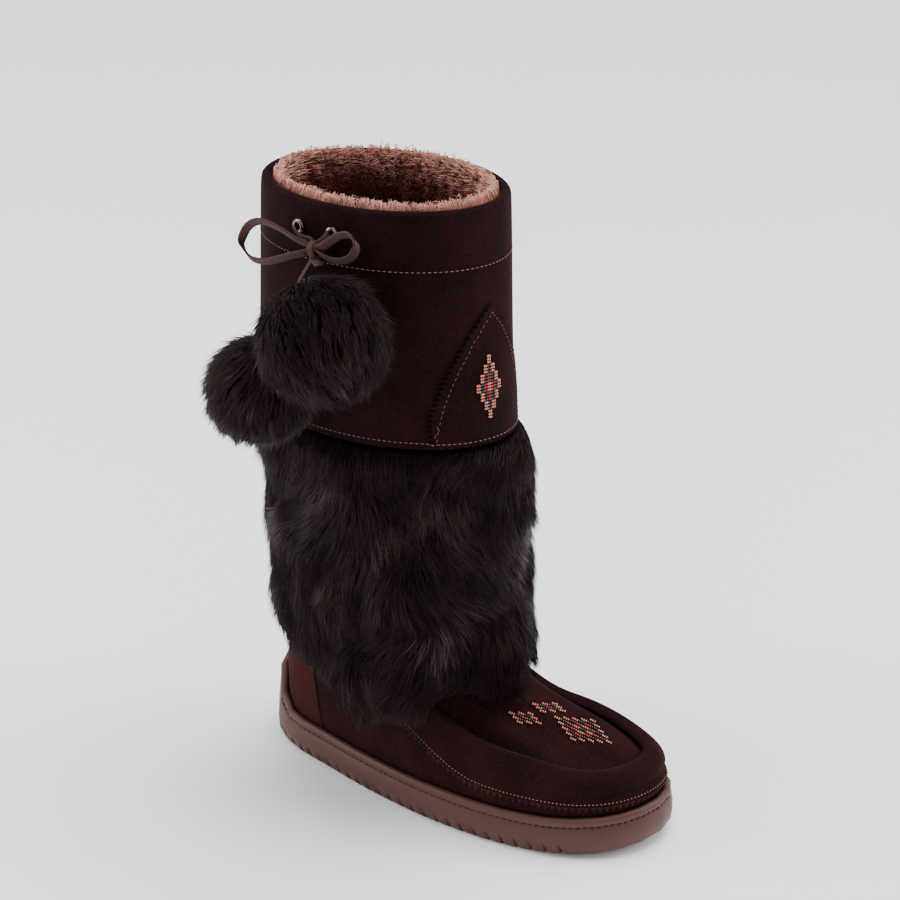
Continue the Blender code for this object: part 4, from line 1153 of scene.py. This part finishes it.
# beads: small bright highlights, metallic copper and clear-coated glass, in stepped diamonds
def makeBeads():
    finishes = {}
    for name, metallic, roughness in (("copper", 0.7, 0.28), ("red", 0.0, 0.15), ("dark", 0.0, 0.15)):
        finishes[name], _ = newMaterial(name + "Bead", beads[name], roughness, {
            "Metallic": metallic, "Coat Weight": 0.6, "Coat Roughness": 0.08})
    template = makeTemplate(10, 6)
    order = ("copper", "dark", "red", "copper", "dark")     # from the edge inwards
    eye = Vector(camera["place"])
    found = {name: [] for name in finishes}
    patch = treeOf("pinkedPatch", "turnedCuff")
    start = patch.ray_cast(eye, pixelRay(*beads["patchPixel"]))[0]
    centre = Vector((*middleOf("cuff"), start.z))
    reach = (start - centre).length
    first = math.atan2(start.y - centre.y, start.x - centre.x)
    patchSize = (beads["long"] * 0.98, beads["high"] * 0.93, beads["high"])
    for across, up, step in beadPlaces(beads["patchCells"], 3, 2):
        way = wayAt(first + across * beads["long"] / reach)
        height = start.z + up * beads["high"]
        hit, normal = patch.ray_cast(Vector((centre.x, centre.y, height)) + way * 0.3, -way)[:2]
        sideways = Vector((-way.y, way.x, 0))
        found[order[step]].append((hit, sideways, normal, patchSize))
    toe = treeOf("footUpper", "toeWrap")
    for middle, cells, ahead, aside in beads["toe"]:
        for across, along, step in beadPlaces(cells, 3, 1):
            pixel = np.array(middle) + along * np.array(ahead) + across * np.array(aside)
            hit, normal = toe.ray_cast(eye, pixelRay(*pixel))[:2]
            follow = toe.ray_cast(eye, pixelRay(*(pixel + ahead)))[0]
            found[order[step]].append((hit, follow - hit, normal, beads["toeSize"]))
    for name, items in found.items():
        centres = np.array([np.array(hit) + np.array(normal) * 0.7 * mm for hit, _, normal, _ in items])
        piece = joinedCopies(name + "Beads", template, centres, [tuple(i[1]) for i in items],
                             [tuple(i[2]) for i in items], [i[3] for i in items], finishes[name])
        finishPiece(piece, "patch_suede")
    bpy.data.objects.remove(template)
    print("beads done")


# darkened brass: a mirror-like grey-brown metal
def makeEyelets():
    material, _ = newMaterial("darkenedBrass", "#6f625f", 0.2, {"Metallic": 1.0})
    for side in ("rear", "front"):
        piece = dressedCopy("eyelet_" + side, side + "Eyelet", material, 1, 0.3)
        finishPiece(piece, "eyelet_metal", "eyelet_" + side)


# floor and light

studio = {
    "floor": "#ffffff",
    "world": 0.6,
    "sun": 3.6,
    "aim": (0.08, 0, 0.18),
    # name, place, size and power
    "lights": (
        ("leftBox", (-1.35, -1.0, 0.9), 1.0, 20),
        ("rightBox", (1.35, 1.05, 0.9), 1.0, 18),
        ("frontBox", (0.3, -1.9, 1.2), 1.2, 5),
    ),
}


# a matt white floor, which ends up a light grey
def makeStudio():
    bpy.ops.object.select_all(action="DESELECT")
    bpy.ops.mesh.primitive_plane_add(size=12, location=(0, 0, -0.0002))
    floor = bpy.context.object
    floor.name = "studioFloor"
    bpy.ops.object.transform_apply(location=True, rotation=True, scale=True)
    material, _ = newMaterial("paintedFloor", studio["floor"], 0.9)
    floor.data.materials.append(material)
    for name, place, size, power in studio["lights"]:
        data = bpy.data.lights.new(name, "AREA")
        data.size = size
        data.energy = power
        lamp = addObject(name, data)
        aim = (Vector(studio["aim"]) - Vector(place)).to_track_quat("-Z", "Y").to_matrix().to_4x4()
        lamp.matrix_world = Matrix.Translation(place) @ aim
    data = bpy.data.lights.new("skyPanel", "SUN")
    data.energy = studio["sun"]
    data.angle = math.radians(50)
    lamp = addObject("skyPanel", data)
    lamp.matrix_world = Matrix.Rotation(math.radians(-14), 4, "X")
    world = bpy.data.worlds.new("studioWorld")
    bpy.context.scene.world = world
    world.use_nodes = True
    sky = world.node_tree.nodes["Background"]
    sky.inputs["Color"].default_value = (1, 1, 1, 1)
    sky.inputs["Strength"].default_value = studio["world"]


def main():
    makeCamera()
    furMaterial = makeFurMaterial("rabbitFur", fur["dark"], fur["middle"], fur["light"], fur["roughness"])
    # wool: a near black without any shine, which closes the gaps between the hairs; partly the fur's own
    # darkest tone, partly painted shade deep in the fur
    woolAndShadeMaterial, _ = newMaterial("underWoolAndShade", fur["dark"], 1.0, {"Specular IOR Level": 0.0})
    low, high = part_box("cuff")
    wall = Around("cuff", middleOf("cuff"), low.z + 1 * mm, high.z - 5 * mm, rows=16)
    low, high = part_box("fur_sleeve")
    skirt = Around("fur_sleeve", fur["axis"], low.z, high.z - 1 * mm, rows=24, passes=1)
    balls = {half: makeBall("pompom_" + half.lower(), half.lower() + "Ball", furMaterial, woolAndShadeMaterial,
                            wall, skirt) for half in ("Rear", "Front")}
    makeLaces()
    makeSole()
    makeLeather()
    makeUnderFur(woolAndShadeMaterial, makeShaftFur(furMaterial))
    makePile()
    makeEyelets()
    makeStitches()
    makeBeads()
    makeStudio()


main()
